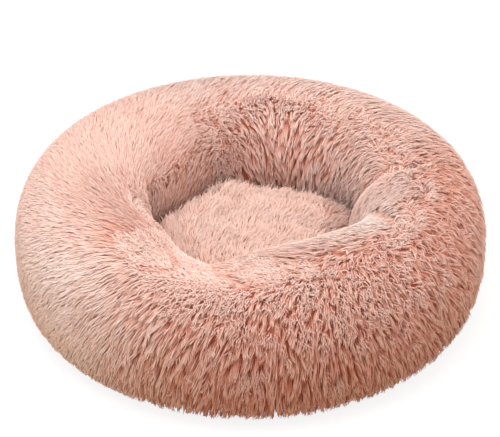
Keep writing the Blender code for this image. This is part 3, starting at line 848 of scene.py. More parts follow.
@dataclass
class RingPile:
    """The long pile of the ring cover."""

    bolster: Bolster
    pile: Pile = field(
        default_factory=lambda: Pile(
            spacing=0.0019,
            lock_spacing=0.0070,
            fine_lock_spacing=0.0040,
            depth=0.0148,
            reach=0.0215,
            half_width=0.00048,
            seed=7,
            lock_relief=0.68,
        )
    )
    brushing: RingBrushing = RingBrushing()
    inner_foot_turn: float = 222
    foot_run: float = 32
    fill_margin: float = 25
    floor_gap: float = 0.0006
    nest_floor: float = 0.0071
    wander: float = 6.0
    wander_size: float = 0.05
    ruffle_size: float = 0.016
    sense_spread: float = 0.4
    upright: float = 0.75
    fill_cell: float = 0.004
    bare: float = 0.08
    parted_bare: float = 0.6
    ground_depth: float = 0.0085
    ground_drop: float = 0.7
    ground_ripple: float = 0.0009
    ground_ripple_size: float = 0.009
    ground_steps: tuple = (480, 96)
    ground_mottle: float = 0.25
    ground_place: float = 0.12
    least_coarse: float = 0.6
    most_coarse_chaos: float = 0.3
    stray: float = 0.06
    # Painted shade on the clumped inner wall.
    inner_painted_shade: float = 0.1
    foot_reach: float = 0.4
    lock_round: float = 1.7
    shorn_depth: float = 0.28
    shorn_reach: float = 0.3
    lock_sink: float = 0.7
    lock_stretch: tuple = (-0.1, 0.5)
    lock_gather: float = 0.92
    ruffled_loss: float = 0.35
    plain_curl: float = 0.1
    clumped_curl: float = 0.12
    ruffled_curl: float = 0.6
    plain_tone: float = 0.6
    # Clumped places and fibres low in the pile are deepened as painted shade.
    clumped_painted_shade: float = 0.17
    ruffled_tone: float = 0.25
    low_painted_shade: float = 0.82
    tone_spread: float = 0.2
    inner_turns: tuple = (110, 175)
    floor_spread: float = 0.0012
    flat_power: float = 2.9
    tip_rise: float = 0.22
    fill_reach: tuple = (0.15, 0.5)
    fill_depth: tuple = (0.8, 1.0)
    fill_tone: float = 0.9

    def roots(self, spacing: float, seed: int) -> tuple[np.ndarray, np.ndarray]:
        """Scatter places over the ring, evenly but not in rows.

        Args:
            spacing: Distance between neighbours.
            seed: Seed of the random shifts.

        Returns:
            Lengths along the section and directions round the bed.
        """
        random = np.random.default_rng(seed)
        start = self.bolster.length_at(self.bolster.foot_turn)
        end = self.bolster.length_at(self.inner_foot_turn)
        lengths, angles = [], []
        rows = int((end - start) / spacing)
        for row in range(rows):
            length = start + (row + 0.5) * (end - start) / rows
            turn = self.bolster.turn_at(np.array([length]))
            x = self.bolster.section(turn, self.bolster.backing_face)[0][0]
            count = int(2 * math.pi * (self.bolster.ring_radius + x) / spacing)
            along = (np.arange(count) + random.uniform(0, 1)) / count
            angles.append(360 * (along + random.uniform(-0.45, 0.45, count) / count))
            lengths.append(length + random.uniform(-0.5, 0.5, count) * spacing)
        length, angle = np.concatenate(lengths), np.concatenate(angles) % 360
        kept = self.above_foot(length, angle) > 0
        return length[kept], angle[kept]

    def above_foot(self, length: np.ndarray, angle: np.ndarray) -> np.ndarray:
        """Turns from the cover's outer edge up to each place."""
        return self.bolster.turn_at(length) - self.bolster.cover_foot(angle)

    def comb(self, length: np.ndarray, angle: np.ndarray, seed: int) -> dict[str, np.ndarray]:
        """How the pile lies at each place.

        Args:
            length: Lengths along the section.
            angle: Directions round the bed.
            seed: Seed of the random part.

        Returns:
            What the brushing gives, with the facing made sure.
        """
        random = np.random.default_rng(seed)
        turn = self.bolster.turn_at(length)
        place = self.bolster.points(angle, turn, self.bolster.backing_face)
        shift = self.wander * waves(place, self.wander_size, seed)
        lie = self.brushing.at(angle + 0.5 * shift, turn + shift)
        # Where the pile changes over to the opposite way, each lock picks one of the two.
        sure = np.real(lie["facing"] * np.conj(lie["line"]))
        picked = sure + random.normal(size=len(turn)) * self.sense_spread
        ruffle = waves(place, self.ruffle_size, seed + 1) * 1.5
        ruffle = ruffle + random.normal(size=len(turn)) * 0.5
        twist = lie["chaos"] * ruffle + 0.12 * waves(place, self.wander_size, seed + 2)
        lie["facing"] = np.where(picked < 0, -1, 1) * lie["line"] * np.exp(1j * twist)
        lie["parted"] = 1 - np.clip(np.abs(sure), 0, 1)
        return lie

    def grow(self) -> Fibres:
        """Grow every fibre of the ring's pile.

        Returns:
            The fibres.
        """
        bolster, pile = self.bolster, self.pile
        random = np.random.default_rng(pile.seed)
        length, angle = self.roots(pile.spacing, pile.seed + 1)
        coarse_length, coarse_angle = self.roots(pile.lock_spacing, pile.seed + 2)
        fine_length, fine_angle = self.roots(pile.fine_lock_spacing, pile.seed + 5)
        root, coarse_root, fine_root = (
            bolster.points(way, bolster.turn_at(along), bolster.backing_face)
            for along, way in (
                (length, angle), (coarse_length, coarse_angle), (fine_length, fine_angle)
            )
        )
        root_turn = bolster.turn_at(length)
        here = self.comb(length, angle, pile.seed + 3)
        coarse = (here["clump"] > self.least_coarse) & (here["chaos"] < self.most_coarse_chaos)
        lock = len(coarse_root) + nearest(fine_root, root)
        lock[coarse] = nearest(coarse_root, root[coarse])
        lock_length = np.concatenate([coarse_length, fine_length])
        lock_angle = np.concatenate([coarse_angle, fine_angle])
        lock_root = np.concatenate([coarse_root, fine_root])
        spacing = np.where(coarse, pile.lock_spacing, pile.fine_lock_spacing)
        lie = self.comb(lock_length, lock_angle, pile.seed + 3)
        locks, count = len(lock_length), len(length)
        clump = lie["clump"]
        # A lock stands out or lies under its neighbours, the more so the stronger the clumping.
        lock_rise = self.lock_sink * pile.lock_relief * clump
        lock_rise = 1 - lock_rise * random.uniform(0, 1, locks) ** 1.5
        lock_reach = pile.reach * (1 + clump * random.uniform(*self.lock_stretch, locks))
        lock_reach = lock_reach * (1 - self.ruffled_loss * lie["chaos"])
        lock_reach = lock_reach * (1 - self.upright * lie["parted"] ** 1.5)
        # Where the pile is shorn low, at the end of the zip, its fibres are short as well.
        shorn = lie["depth"] / (1 - lie["fold"]) / self.shorn_depth
        lock_reach = lock_reach * np.clip(shorn, self.shorn_reach, 1)
        most_curl = self.plain_curl + self.clumped_curl * clump + self.ruffled_curl * lie["chaos"]
        lock_curl = random.normal(size=locks) * most_curl

        away = np.linalg.norm(root - lock_root[lock], axis=1) / spacing
        edge = clump[lock] * np.clip(away * 1.5, 0, 1) ** 2
        rise_share = lock_rise[lock] * (1 - pile.lock_relief * edge)
        evenness = 0.97 - 0.06 * clump[lock]
        depth = pile.depth * lie["depth"][lock] * rise_share
        depth = depth * random.uniform(evenness, 1.01, count)
        reach = lock_reach[lock] * (1 - 0.3 * edge) * random.uniform(0.94, 1.03, count)
        above = smooth_step(self.above_foot(length, angle), 0, self.foot_run)
        reach = reach * (self.foot_reach + (1 - self.foot_reach) * above)
        facing = lie["facing"][lock] * np.exp(1j * random.normal(size=count) * self.stray)
        # Painted shade: fibres low in the pile, at the sides of locks and in sunk locks, keep the deep
        # root colour, so the gaps between locks show it, and clumped places are deeper overall.
        tone = self.plain_tone - self.clumped_painted_shade * clump[lock]
        tone = tone - self.ruffled_tone * lie["chaos"][lock]
        tone = tone - self.low_painted_shade * (1 - rise_share) / pile.lock_relief
        # On the inner wall, clumped places are deeper still: painted shade.
        inner = smooth_step(root_turn, *self.inner_turns) * np.clip(clump[lock] * 1.6, 0, 1)
        # Folds add painted shade here, and each stroke's pale adds painted light or painted shade.
        tone = tone - self.inner_painted_shade * inner - here["shade"] + lie["pale"][lock]
        bent = 0.5j * lock_curl[lock]
        gather = clump[lock] * self.lock_gather
        gap = (lock_length[lock] - length, (lock_angle[lock] - angle + 180) % 360 - 180)
        grown = self.shape((length, angle), facing * reach, bent, gap, gather, depth, tone, clump[lock])
        # The fibres of a lock lie round its middle, so those at its sides face sideways.
        aside = (root - lock_root[lock]) * (self.lock_round * clump[lock] / spacing)[:, None]
        tangent = unit(grown.lines[:, 3] - grown.lines[:, 1])
        aside -= tangent * np.sum(aside * tangent, axis=1, keepdims=True)
        grown.facing = unit(grown.facing + aside)
        return grown.joined(self.fill_in(grown))

    def shape(self, place, travel, bent, gap, gather, depth, tone, roundness) -> Fibres:
        """Shape fibres over the bolster.

        Args:
            place: Lengths along the section and directions round the bed of the roots.
            travel: How far and which way each tip goes, as a complex number.
            bent: How much each path turns aside, as a share of the travel.
            gap: Length and direction from each root to the middle of its lock.
            gather: How far each fibre goes over to the middle of its lock.
            depth: Height of each fibre over the backing.
            tone: Palest at 1, deepest at 0.
            roundness: As in Fibres.

        Returns:
            The fibres.
        """
        bolster, pile = self.bolster, self.pile
        count = len(place[0])
        random = np.random.default_rng(pile.seed + count)
        stations = np.array(pile.stations)[None, :]
        root = bolster.points(place[1], bolster.turn_at(place[0]), bolster.backing_face)
        bend = (random.normal(size=(2, count)).T @ np.array([1, 1j]))[:, None]
        path = travel[:, None] * (stations ** 1.2 + bent[:, None] * stations ** 2.2)
        path = path + bend * pile.bend * np.sin(stations * math.pi)
        drawn = gather[:, None] * (smooth_step(stations, 0.0, 0.5) * 0.6 + 0.16 * stations ** 4)
        lengths = place[0][:, None] + gap[0][:, None] * drawn + path.real
        radius = np.hypot(root[:, 0], root[:, 1])[:, None]
        angles = place[1][:, None] + gap[1][:, None] * drawn + np.degrees(path.imag / radius)
        # Fibres combed flat rise at once, and those of a lock rise on to its tip.
        flat_rise = 1 - (1 - stations) ** self.flat_power
        lock_rise = (1 - self.tip_rise) * flat_rise + self.tip_rise * stations
        rise = flat_rise + (lock_rise - flat_rise) * roundness[:, None]
        offsets = bolster.backing_face + depth[:, None] * rise
        lines = bolster.points(angles, bolster.turn_at(lengths), offsets)
        inside = np.hypot(root[:, 0], root[:, 1]) < bolster.ring_radius
        floor = np.where(inside, self.nest_floor, self.floor_gap)
        floor = floor[:, None] + random.uniform(0, 1, (count, 1)) * self.floor_spread
        lines[..., 2] = np.maximum(lines[..., 2], floor)
        facing = lines[:, 2] - bolster.points(angles[:, 2], bolster.turn_at(lengths[:, 2]), 0.0)
        tone = np.clip(tone + self.tone_spread * random.uniform(-1, 1, count), 0, 1)
        most_roll = pile.least_roll + (pile.most_roll - pile.least_roll) * roundness
        roll = np.radians(random.uniform(-1, 1, count) * most_roll)
        return Fibres(lines, unit(facing), tone, roll, roundness)

    def fill_in(self, grown: Fibres) -> Fibres:
        """Stand more fibres up where the pile parts and would leave the ground bare.

        Args:
            grown: The fibres so far.

        Returns:
            The fibres to add.
        """
        bolster, pile = self.bolster, self.pile
        random = np.random.default_rng(pile.seed + 9)
        length, angle = self.roots(pile.spacing * 0.8, pile.seed + 8)
        root = bolster.points(angle, bolster.turn_at(length), bolster.pile_face)
        shown = grown.lines[:, 2:].reshape(-1, 3)
        low = shown.min(axis=0) - self.fill_cell
        size = ((shown.max(axis=0) - low) / self.fill_cell).astype(int) + 3
        cells = np.zeros(size)
        np.add.at(cells, tuple(((shown - low) / self.fill_cell).astype(int).T), 1)
        spread = cells.copy()
        for axis in range(3):
            spread = spread + np.roll(spread, 1, axis) + np.roll(spread, -1, axis)
        at = ((root - low) / self.fill_cell).astype(int).clip(0, np.array(size) - 1)
        covered = spread[tuple(at.T)] / np.median(spread[tuple(at.T)])
        turn = bolster.turn_at(length)
        parted = self.comb(length, angle, pile.seed + 3)["parted"]
        least = self.bare + (self.parted_bare - self.bare) * np.sqrt(parted)
        bare = covered < least * random.uniform(0.6, 1.1, len(length))
        bare &= self.above_foot(length, angle) > self.fill_margin
        bare &= turn < self.inner_foot_turn - self.fill_margin
        length, angle = length[bare], angle[bare]
        lie = self.comb(length, angle, pile.seed + 3)
        count = len(length)
        LOG.info("%d fibres stand up where the ring's pile parts", count)
        travel = lie["facing"] * np.exp(1j * random.normal(size=count) * 0.5)
        travel = travel * pile.reach * random.uniform(*self.fill_reach, count)
        none = np.zeros(count)
        depth = pile.depth * lie["depth"] * random.uniform(*self.fill_depth, count)
        # Deeper where the pile clumps: painted shade, as for the grown fibres.
        tone = self.fill_tone - 0.4 * lie["clump"] - 0.25 * random.uniform(0, 1, count)
        return self.shape(
            (length, angle), travel, none, (none, none), none, depth, tone, none + 0.5
        )

    def ground(self, material) -> bpy.types.Object:
        """Make the short dense pile between the long fibres, lower where they form locks.

        Args:
            material: Its material.

        Returns:
            The object.
        """
        bolster = self.bolster
        angles = np.arange(self.ground_steps[0]) * 360 / self.ground_steps[0]
        shares = np.linspace(0, 1, self.ground_steps[1])
        angle, share = np.meshgrid(angles, shares, indexing="ij")
        start = bolster.length_at(bolster.cover_foot(angle))
        end = bolster.length_at(self.inner_foot_turn)
        length = start + (end - start) * share
        turn = bolster.turn_at(length)
        lie = self.comb(length.ravel(), angle.ravel(), self.pile.seed + 3)
        inside = bolster.points(angle, turn, bolster.backing_face)
        height = self.ground_depth * lie["depth"] * (1 - self.ground_drop * lie["clump"])
        height = height.reshape(angle.shape)
        height += self.ground_ripple * waves(inside, self.ground_ripple_size, self.pile.seed)
        height *= smooth_step(length, start, start + 0.02) * smooth_step(-length, -end, 0.02 - end)
        outside = bolster.points(angle, turn, bolster.backing_face + 0.0003 + height)
        outside[..., 2] = np.maximum(outside[..., 2], self.floor_gap)
        points = np.concatenate([outside, inside[:, ::-1]], axis=1)
        thing = loft("ring_ground_pile", points, material)
        # Deeper where the pile clumps: painted shade in the gaps between locks; the mottle is tone that
        # differs at random.
        tone = 0.8 - 0.8 * lie["clump"].reshape(angle.shape)
        tone = tone + self.ground_mottle * waves(outside, self.ground_ripple_size, self.pile.seed + 4)
        tone = np.clip(np.concatenate([tone, tone[:, ::-1]], axis=1), 0, 1).ravel()
        vertex = np.empty(len(thing.data.loops), dtype=np.int32)
        thing.data.loops.foreach_get("vertex_index", vertex)
        shift = np.arange(len(vertex)) % 4
        across = tone[vertex] * 0.96 + 0.005 + 0.01 * (shift % 3)
        along = self.ground_place + 0.01 * (shift // 2)
        layer = thing.data.uv_layers.new(name=PILE_MAP)
        layer.uv.foreach_set("vector", np.stack([across, along], axis=1).astype(np.float32).ravel())
        return thing

    def build(self, material) -> list[bpy.types.Object]:
        """Make the pile's objects, sector by sector.

        Args:
            material: The pile's material.

        Returns:
            The objects.
        """
        fibres = self.grow()
        around = np.degrees(np.arctan2(fibres.lines[:, 0, 1], fibres.lines[:, 0, 0])) % 360
        order = np.argsort(around)
        sectors = math.ceil(len(order) / self.pile.most_fibres)
        things = []
        for index, chosen in enumerate(np.array_split(order, sectors)):
            name = f"ring_pile_{index + 1:02d}"
            things.append(fibre_mesh(name, fibres.part(chosen), self.pile, material))
        LOG.info("ring pile: %d fibres in %d pieces", len(order), sectors)
        return things


def loft(name: str, points: np.ndarray, material, around: bool = True) -> bpy.types.Object:
    """Make a smooth object from rows of points, each row a closed outline.

    Args:
        name: The object's name.
        points: Points by row and by place in the row.
        material: The object's material.
        around: Whether the last row joins the first. Otherwise both ends are filled.

    Returns:
        The new object, in which points at one place are joined.
    """
    rows, places = points.shape[:2]
    faces = []
    for row in range(rows if around else rows - 1):
        faces += band(row * places, (row + 1) % rows * places, places)
    if not around:
        faces.append(tuple(reversed(range(places))))
        faces.append(tuple(range((rows - 1) * places, rows * places)))
    return new_object(name, points.reshape(-1, 3), faces, material)


def new_object(name: str, points: np.ndarray, faces: list, material) -> bpy.types.Object:
    """Make an object from points and faces, with its normals turned out.

    Args:
        name: The object's name.
        points: Its points.
        faces: Its faces, as lists of point numbers.
        material: Its material.

    Returns:
        The new object.
    """
    mesh = bpy.data.meshes.new(name)
    mesh.from_pydata(points.tolist(), [], faces)
    shape = bmesh.new()
    shape.from_mesh(mesh)
    bmesh.ops.remove_doubles(shape, verts=shape.verts, dist=1e-6)
    bmesh.ops.recalc_face_normals(shape, faces=shape.faces)
    shape.to_mesh(mesh)
    shape.free()
    mesh.shade_smooth()
    mesh.materials.append(material)
    thing = bpy.data.objects.new(name, mesh)
    bpy.context.scene.collection.objects.link(thing)
    return thing


def settle(thing, body: Body, slot: Slot, *nodes: str) -> None:
    """Put a finished piece on its body, in place of its nodes."""
    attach(thing, body.value)
    if nodes:
        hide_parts(*nodes)
    LOG.info("%s: %d faces", thing.name, len(thing.data.polygons))


def tubes(name: str, paths: np.ndarray, radius: float, sides: int, material) -> bpy.types.Object:
    """Make one object of round threads.

    Args:
        name: The object's name.
        paths: Points by thread and along it.
        radius: Radius of the thread.
        sides: Corners of its section.
        material: Its material.

    Returns:
        The new object.
    """
    count, steps = paths.shape[:2]
    tangent = unit(np.gradient(paths, axis=1))
    guide = np.where(np.abs(tangent[..., 2:]) > 0.9, [[[1.0, 0, 0]]], [[[0, 0, 1.0]]])
    side = unit(np.cross(tangent, guide))
    up = np.cross(side, tangent)
    turns = 2 * math.pi * np.arange(sides) / sides
    reach = np.cos(turns)[:, None] * side[:, :, None] + np.sin(turns)[:, None] * up[:, :, None]
    points = (paths[:, :, None] + radius * reach).reshape(-1, 3)
    faces = []
    for thread in range(count):
        first = thread * steps * sides
        for step in range(steps - 1):
            faces += band(first + step * sides, first + (step + 1) * sides, sides)
        faces.append(tuple(range(first, first + sides)))
        faces.append(tuple(range(first + (steps - 1) * sides, first + steps * sides)))
    return new_object(name, points, faces, material)


@dataclass
class RingLayer:
    """A layer of the bolster, between two distances out from the liner's face.

    Without a first turn, the layer starts at the cover's outer edge.
    """

    name: str
    inner: float
    outer: float
    first_turn: float | None
    last_turn: float
    start: float = 0.0
    end: float = 360.0
    angle_step: float = 1.5
    turn_steps: int = 70
    ripple: float = 0.0
    ripple_size: float = 0.02

    def build(self, bolster: Bolster, material) -> bpy.types.Object:
        """Make the layer.

        Args:
            bolster: The section that it follows.
            material: The layer's material.

        Returns:
            The object.
        """
        around = self.end - self.start >= 360
        steps = max(3, round((self.end - self.start) / self.angle_step))
        angles = np.linspace(self.start, self.end, steps + 1)
        angles = angles[:-1] if around else angles
        shares = np.linspace(0, 1, self.turn_steps)
        angle, share = np.meshgrid(angles, shares, indexing="ij")
        first = bolster.cover_foot(angle) if self.first_turn is None else self.first_turn
        turn = first + (self.last_turn - first) * share
        place = bolster.points(angle, turn, self.outer)
        lift = self.ripple * waves(place, self.ripple_size, len(self.name))
        outside = bolster.points(angle, turn, self.outer + lift)
        inside = bolster.points(angle, turn, self.inner + lift)[:, ::-1]
        return loft(self.name, np.concatenate([outside, inside], axis=1), material, around)


@dataclass
class BolsterLayers:
    """What lies under the ring's pile: its knitted backing, the liner, its tape and the fill."""

    bolster: Bolster
    backing: RingLayer = field(
        default_factory=lambda: RingLayer("ring_backing", 0.0018, 0.0033, None, 225)
    )
    liner: RingLayer = field(
        default_factory=lambda: RingLayer("liner_bag", -0.001, 0.0, -88, 268, angle_step=3)
    )
    tape: RingLayer = field(
        default_factory=lambda: RingLayer(
            "closing_tape", -0.0020, -0.0014, -98, -82, angle_step=3, turn_steps=5
        )
    )
    fill: RingLayer = field(
        default_factory=lambda: RingLayer("bolster_fibre", -0.0420, -0.0024, -90, 270, angle_step=3)
    )
    fullness: float = 0.85

    def build(self) -> None:
        """Make every layer and dress it."""
        knit = WovenCloth(
            "warp_knit_backing", thread=0.0006, warp="e58468", weft="d9755a", sheen=0.3
        ).build()
        bonded = BondedCloth("spunbonded_liner", color="f4f2ee", shade="dcd9d4").build()
        tape = WovenCloth(
            "woven_closing_tape", thread=0.0005, warp="d79d8a", weft="c88a76"
        ).build()
        fibre = FibreFill("carded_polyester_fibre", color="fbfaf7", shade="e4e2de").build()
        backing = self.backing.build(self.bolster, knit)
        settle(backing, Body.BED, Slot.RING_PILE, "ring_cover")
        liner = self.liner.build(self.bolster, bonded)
        settle(liner, Body.BED, Slot.NONWOVEN, "ring_liner")
        closing = self.tape.build(self.bolster, tape)
        settle(closing, Body.BED, Slot.TAPE_CLOTH, "liner_closing_tape")
        fill = self.fill.build(self.bolster, fibre)
        settle(fill, Body.BED, Slot.FIBRE, "ring_fill")


@dataclass
class FloorPieces:
    """The flat pieces under the bolster and under the cushion, with the seam round them."""

    bolster: Bolster
    cloth_gap: float = 0.0004
    wadding_thickness: float = 0.0030
    wadding_turn: float = -64
    quilt_size: float = 0.060
    quilt_depth: float = 0.0004
    panel_thickness: float = 0.0012
    panel_turn: float = -55
    pucker_depth: float = 0.0005
    pucker_count: int = 72
    spot_radius: float = 0.0045
    spot_height: float = 0.0008
    spot_spacing: float = 0.054
    spot_rings: int = 3
    lining_bottom: float = 0.0058
    lining_thickness: float = 0.0010
    lining_turn_up: float = 0.0110
    inner_foot_turn: float = 225
    angle_steps: int = 240

    def angles(self) -> np.ndarray:
        """Directions of the sections round the bed."""
        return np.arange(self.angle_steps) * 360 / self.angle_steps

    def dish(self, name: str, rim_turn: float, inner: float, outer: float, shape, material):
        """Make a flat round layer with its rim turned up.

        Args:
            name: The object's name.
            rim_turn: Turn of the bolster's section at the rim.
            inner: Distance of its upper face from the liner's.
            outer: Distance of its lower face.
            shape: Function from points to how far they stand up, for quilting or puckers.
            material: Its material.

        Returns:
            The object.
        """
        turns = np.linspace(-90, rim_turn, 20)
        angle, turn = np.meshgrid(self.angles(), turns, indexing="ij")
        shares = np.linspace(0.0, 1.0, 24)[:-1][None, :, None]
        rows = []
        for offset in (outer, inner):
            rim = self.bolster.points(angle, turn, offset)
            flat = rim[:, :1] * np.array([1.0, 1.0, 0.0]) * shares
            flat[..., 2] = rim[:, :1, 2]
            face = np.concatenate([flat, rim], axis=1)
            face[..., 2] += shape(face)
            rows.append(face)
        points = np.concatenate([rows[0], rows[1][:, ::-1]], axis=1)
        return loft(name, points, material)

    def quilting(self, points: np.ndarray) -> np.ndarray:
        """Height of the wadding's quilted squares, which sink at their stitched lines."""
        rate = math.pi / self.quilt_size
        ridge = np.abs(np.sin(points[..., 0] * rate) * np.sin(points[..., 1] * rate))
        return self.quilt_depth * (np.sqrt(ridge) - 1)

    def puckers(self, points: np.ndarray) -> np.ndarray:
        """Height of the small gathers that the seam draws up round the panel's rim."""
        radius = np.hypot(points[..., 0], points[..., 1])
        around = np.arctan2(points[..., 1], points[..., 0])
        near_rim = smooth_step(radius, 0.19, 0.26)
        wave = np.sin(around * self.pucker_count + 2 * np.sin(around * 5))
        return self.pucker_depth * near_rim * (wave + 1) / 2

    def spots(self, material) -> bpy.types.Object:
        """Make the grip spots, low domes printed under the panel.

        Args:
            material: Their material.

        Returns:
            The object.
        """
        sides = 20
        rings = ((0.0, 0.0), (0.45, 0.03), (0.75, 0.25), (0.93, 0.6), (1.0, 1.0), (0.98, 1.4))
        turns = np.radians(np.arange(sides) * 360 / sides)
        points, faces = [], []
        for row in range(-self.spot_rings, self.spot_rings + 1):
            columns = 2 * self.spot_rings + 1 - abs(row)
            for column in range(columns):
                x = self.spot_spacing * (column - (columns - 1) / 2)
                y = self.spot_spacing * row * math.sin(math.radians(60))
                first = len(points) * sides
                for share, height in rings:
                    circle = np.stack([np.cos(turns), np.sin(turns)], axis=1)
                    circle = circle * share * self.spot_radius + [x, y]
                    level = np.full((sides, 1), height * self.spot_height)
                    points.append(np.concatenate([circle, level], axis=1))
                for ring in range(len(rings) - 1):
                    faces += band(first + ring * sides, first + (ring + 1) * sides, sides)
                last = first + (len(rings) - 1) * sides
                faces.append(tuple(range(last, last + sides)))
        return new_object("grip_spots", np.concatenate(points), faces, material)

    def lining(self, material) -> bpy.types.Object:
        """Make the cloth under the cushion, turned up to the foot of the inner wall.

        Args:
            material: Its material.

        Returns:
            The object.
        """
        angles = self.angles()
        thickness = self.lining_thickness
        foot = self.bolster.points(
            angles, np.full(len(angles), self.inner_foot_turn), self.bolster.backing_face
        )
        rim_radius = np.hypot(foot[:, 0], foot[:, 1])
        rim_height = foot[:, 2] - 2 * self.cloth_gap - thickness
        low = self.lining_bottom
        bends = smooth_step(np.linspace(0, 1, 9), 0.0, 1.0)
        radius, height = [], []
        for share in np.linspace(0, 1, 14)[:-1]:
            radius.append((rim_radius - self.lining_turn_up) * share)
            height.append(np.full(len(angles), low))
        for place, bend in zip(np.linspace(0, 1, 9), bends):
            radius.append(rim_radius - self.lining_turn_up * (1 - place) ** 1.6)
            height.append(low + (rim_height - low) * bend * place ** 0.5)
        radius, height = np.stack(radius, axis=1), np.stack(height, axis=1)
        slope = np.gradient(height, axis=1) / (np.gradient(radius, axis=1) + 1e-9)
        tilt = np.arctan(slope)
        upper_radius = np.maximum(radius - thickness * np.sin(tilt), 0.0)
        upper_radius[:, 0] = 0.0
        upper_height = height + thickness * np.cos(tilt)
        radius = np.concatenate([radius, upper_radius[:, ::-1]], axis=1)
        height = np.concatenate([height, upper_height[:, ::-1]], axis=1)
        return loft("nest_lining", around_z(radius, angles[:, None], height), material)

    def build(self) -> None:
        """Make every flat piece and dress it."""
        coated = WovenCloth(
            "coated_oxford_cloth",
            thread=0.0007,
            warp="4a4547",
            weft="3c383a",
            roughness=0.62,
            coat=0.15,
        ).build()
        rubber = Moulded("printed_grip_rubber", color="2c292b", worn="3a3638", roughness=0.55).build()
        quilt = BondedCloth("quilted_wadding", color="f6f4f0", shade="e2dfda").build()
        lining = BondedCloth("spunbonded_lining", color="efece8", shade="d8d4cf").build()
        gap = self.cloth_gap
        wadding = self.dish(
            "quilted_pad", self.wadding_turn, gap, gap + self.wadding_thickness, self.quilting, quilt
        )
        settle(wadding, Body.BED, Slot.FIBRE, "base_wadding")
        inner = 2 * gap + self.wadding_thickness
        panel = self.dish(
            "base_cloth", self.panel_turn, inner, inner + self.panel_thickness, self.puckers, coated
        )
        settle(panel, Body.BED, Slot.COATED_CLOTH, "base_panel")
        spots = self.spots(rubber)
        settle(spots, Body.BED, Slot.COATED_CLOTH)
        lining = self.lining(lining)
        settle(lining, Body.BED, Slot.NONWOVEN, "floor_lining")


@dataclass
class SeamTrim:
    """The binding over the lower seam, its stitches and the blank label sewn into it."""

    bolster: Bolster
    seam_turn: float = -55
    binding_width: float = 0.0060
    binding_arc: tuple = (180, 360)
    binding_inner: float = 0.0054
    binding_outer: float = 0.0066
    stitch_length: float = 0.0026
    stitch_gap: float = 0.0009
    stitch_radius: float = 0.00025
    label_angle: float = 202.5
    label_inner: float = 0.0070
    label_outer: float = 0.0076
    label_size: tuple = (0.030, 0.014)

    def stitches(self, material) -> bpy.types.Object:
        """Make the row of lock stitches along the middle of the binding.

        Args:
            material: Their thread's material.

        Returns:
            The object.
        """
        middle = self.seam_turn - self.bolster.turns_for(self.binding_width) / 2
        start, end = self.binding_arc
        pitch = self.bolster.angle_for(self.stitch_length + self.stitch_gap)
        starts = np.arange(start + pitch, end - pitch, pitch)
        along = np.linspace(0, self.bolster.angle_for(self.stitch_length), 5)
        angle = starts[:, None] + along[None, :]
        dip = np.array([-0.0003, 0.0001, 0.0002, 0.0001, -0.0003])[None, :]
        turn = np.full(angle.shape, middle)
        paths = self.bolster.points(angle, turn, self.binding_outer + dip)
        return tubes("binding_stitches", paths, self.stitch_radius, 5, material)

    def build(self) -> None:
        """Make the trim and dress it."""
        tape = WovenCloth("folded_binding_tape", thread=0.0005, warp="dba18e", weft="cb8d79").build()
        thread = WovenCloth("polyester_thread", thread=0.0003, warp="e6b3a1", weft="d49a87").build()
        satin = WovenCloth(
            "satin_label_cloth", thread=0.0003, warp="f5f2ec", weft="e6e2da", roughness=0.45
        ).build()
        binding = RingLayer(
            "seam_binding",
            self.binding_inner,
            self.binding_outer,
            self.seam_turn - self.bolster.turns_for(self.binding_width),
            self.seam_turn,
            *self.binding_arc,
            angle_step=1.0,
            turn_steps=6,
            ripple=0.0001,
            ripple_size=0.006,
        ).build(self.bolster, tape)
        settle(binding, Body.BED, Slot.TAPE_CLOTH, "base_seam_binding")
        settle(self.stitches(thread), Body.BED, Slot.TAPE_CLOTH)
        width, drop = self.label_size
        half = self.bolster.angle_for(width) / 2
        label = RingLayer(
            "blank_label",
            self.label_inner,
            self.label_outer,
            self.seam_turn - self.bolster.turns_for(drop),
            self.seam_turn,
            self.label_angle - half,
            self.label_angle + half,
            angle_step=0.25,
            turn_steps=12,
            ripple=0.00025,
            ripple_size=0.018,
        ).build(self.bolster, satin)
        settle(label, Body.BED, Slot.LABEL_CLOTH, "care_label")


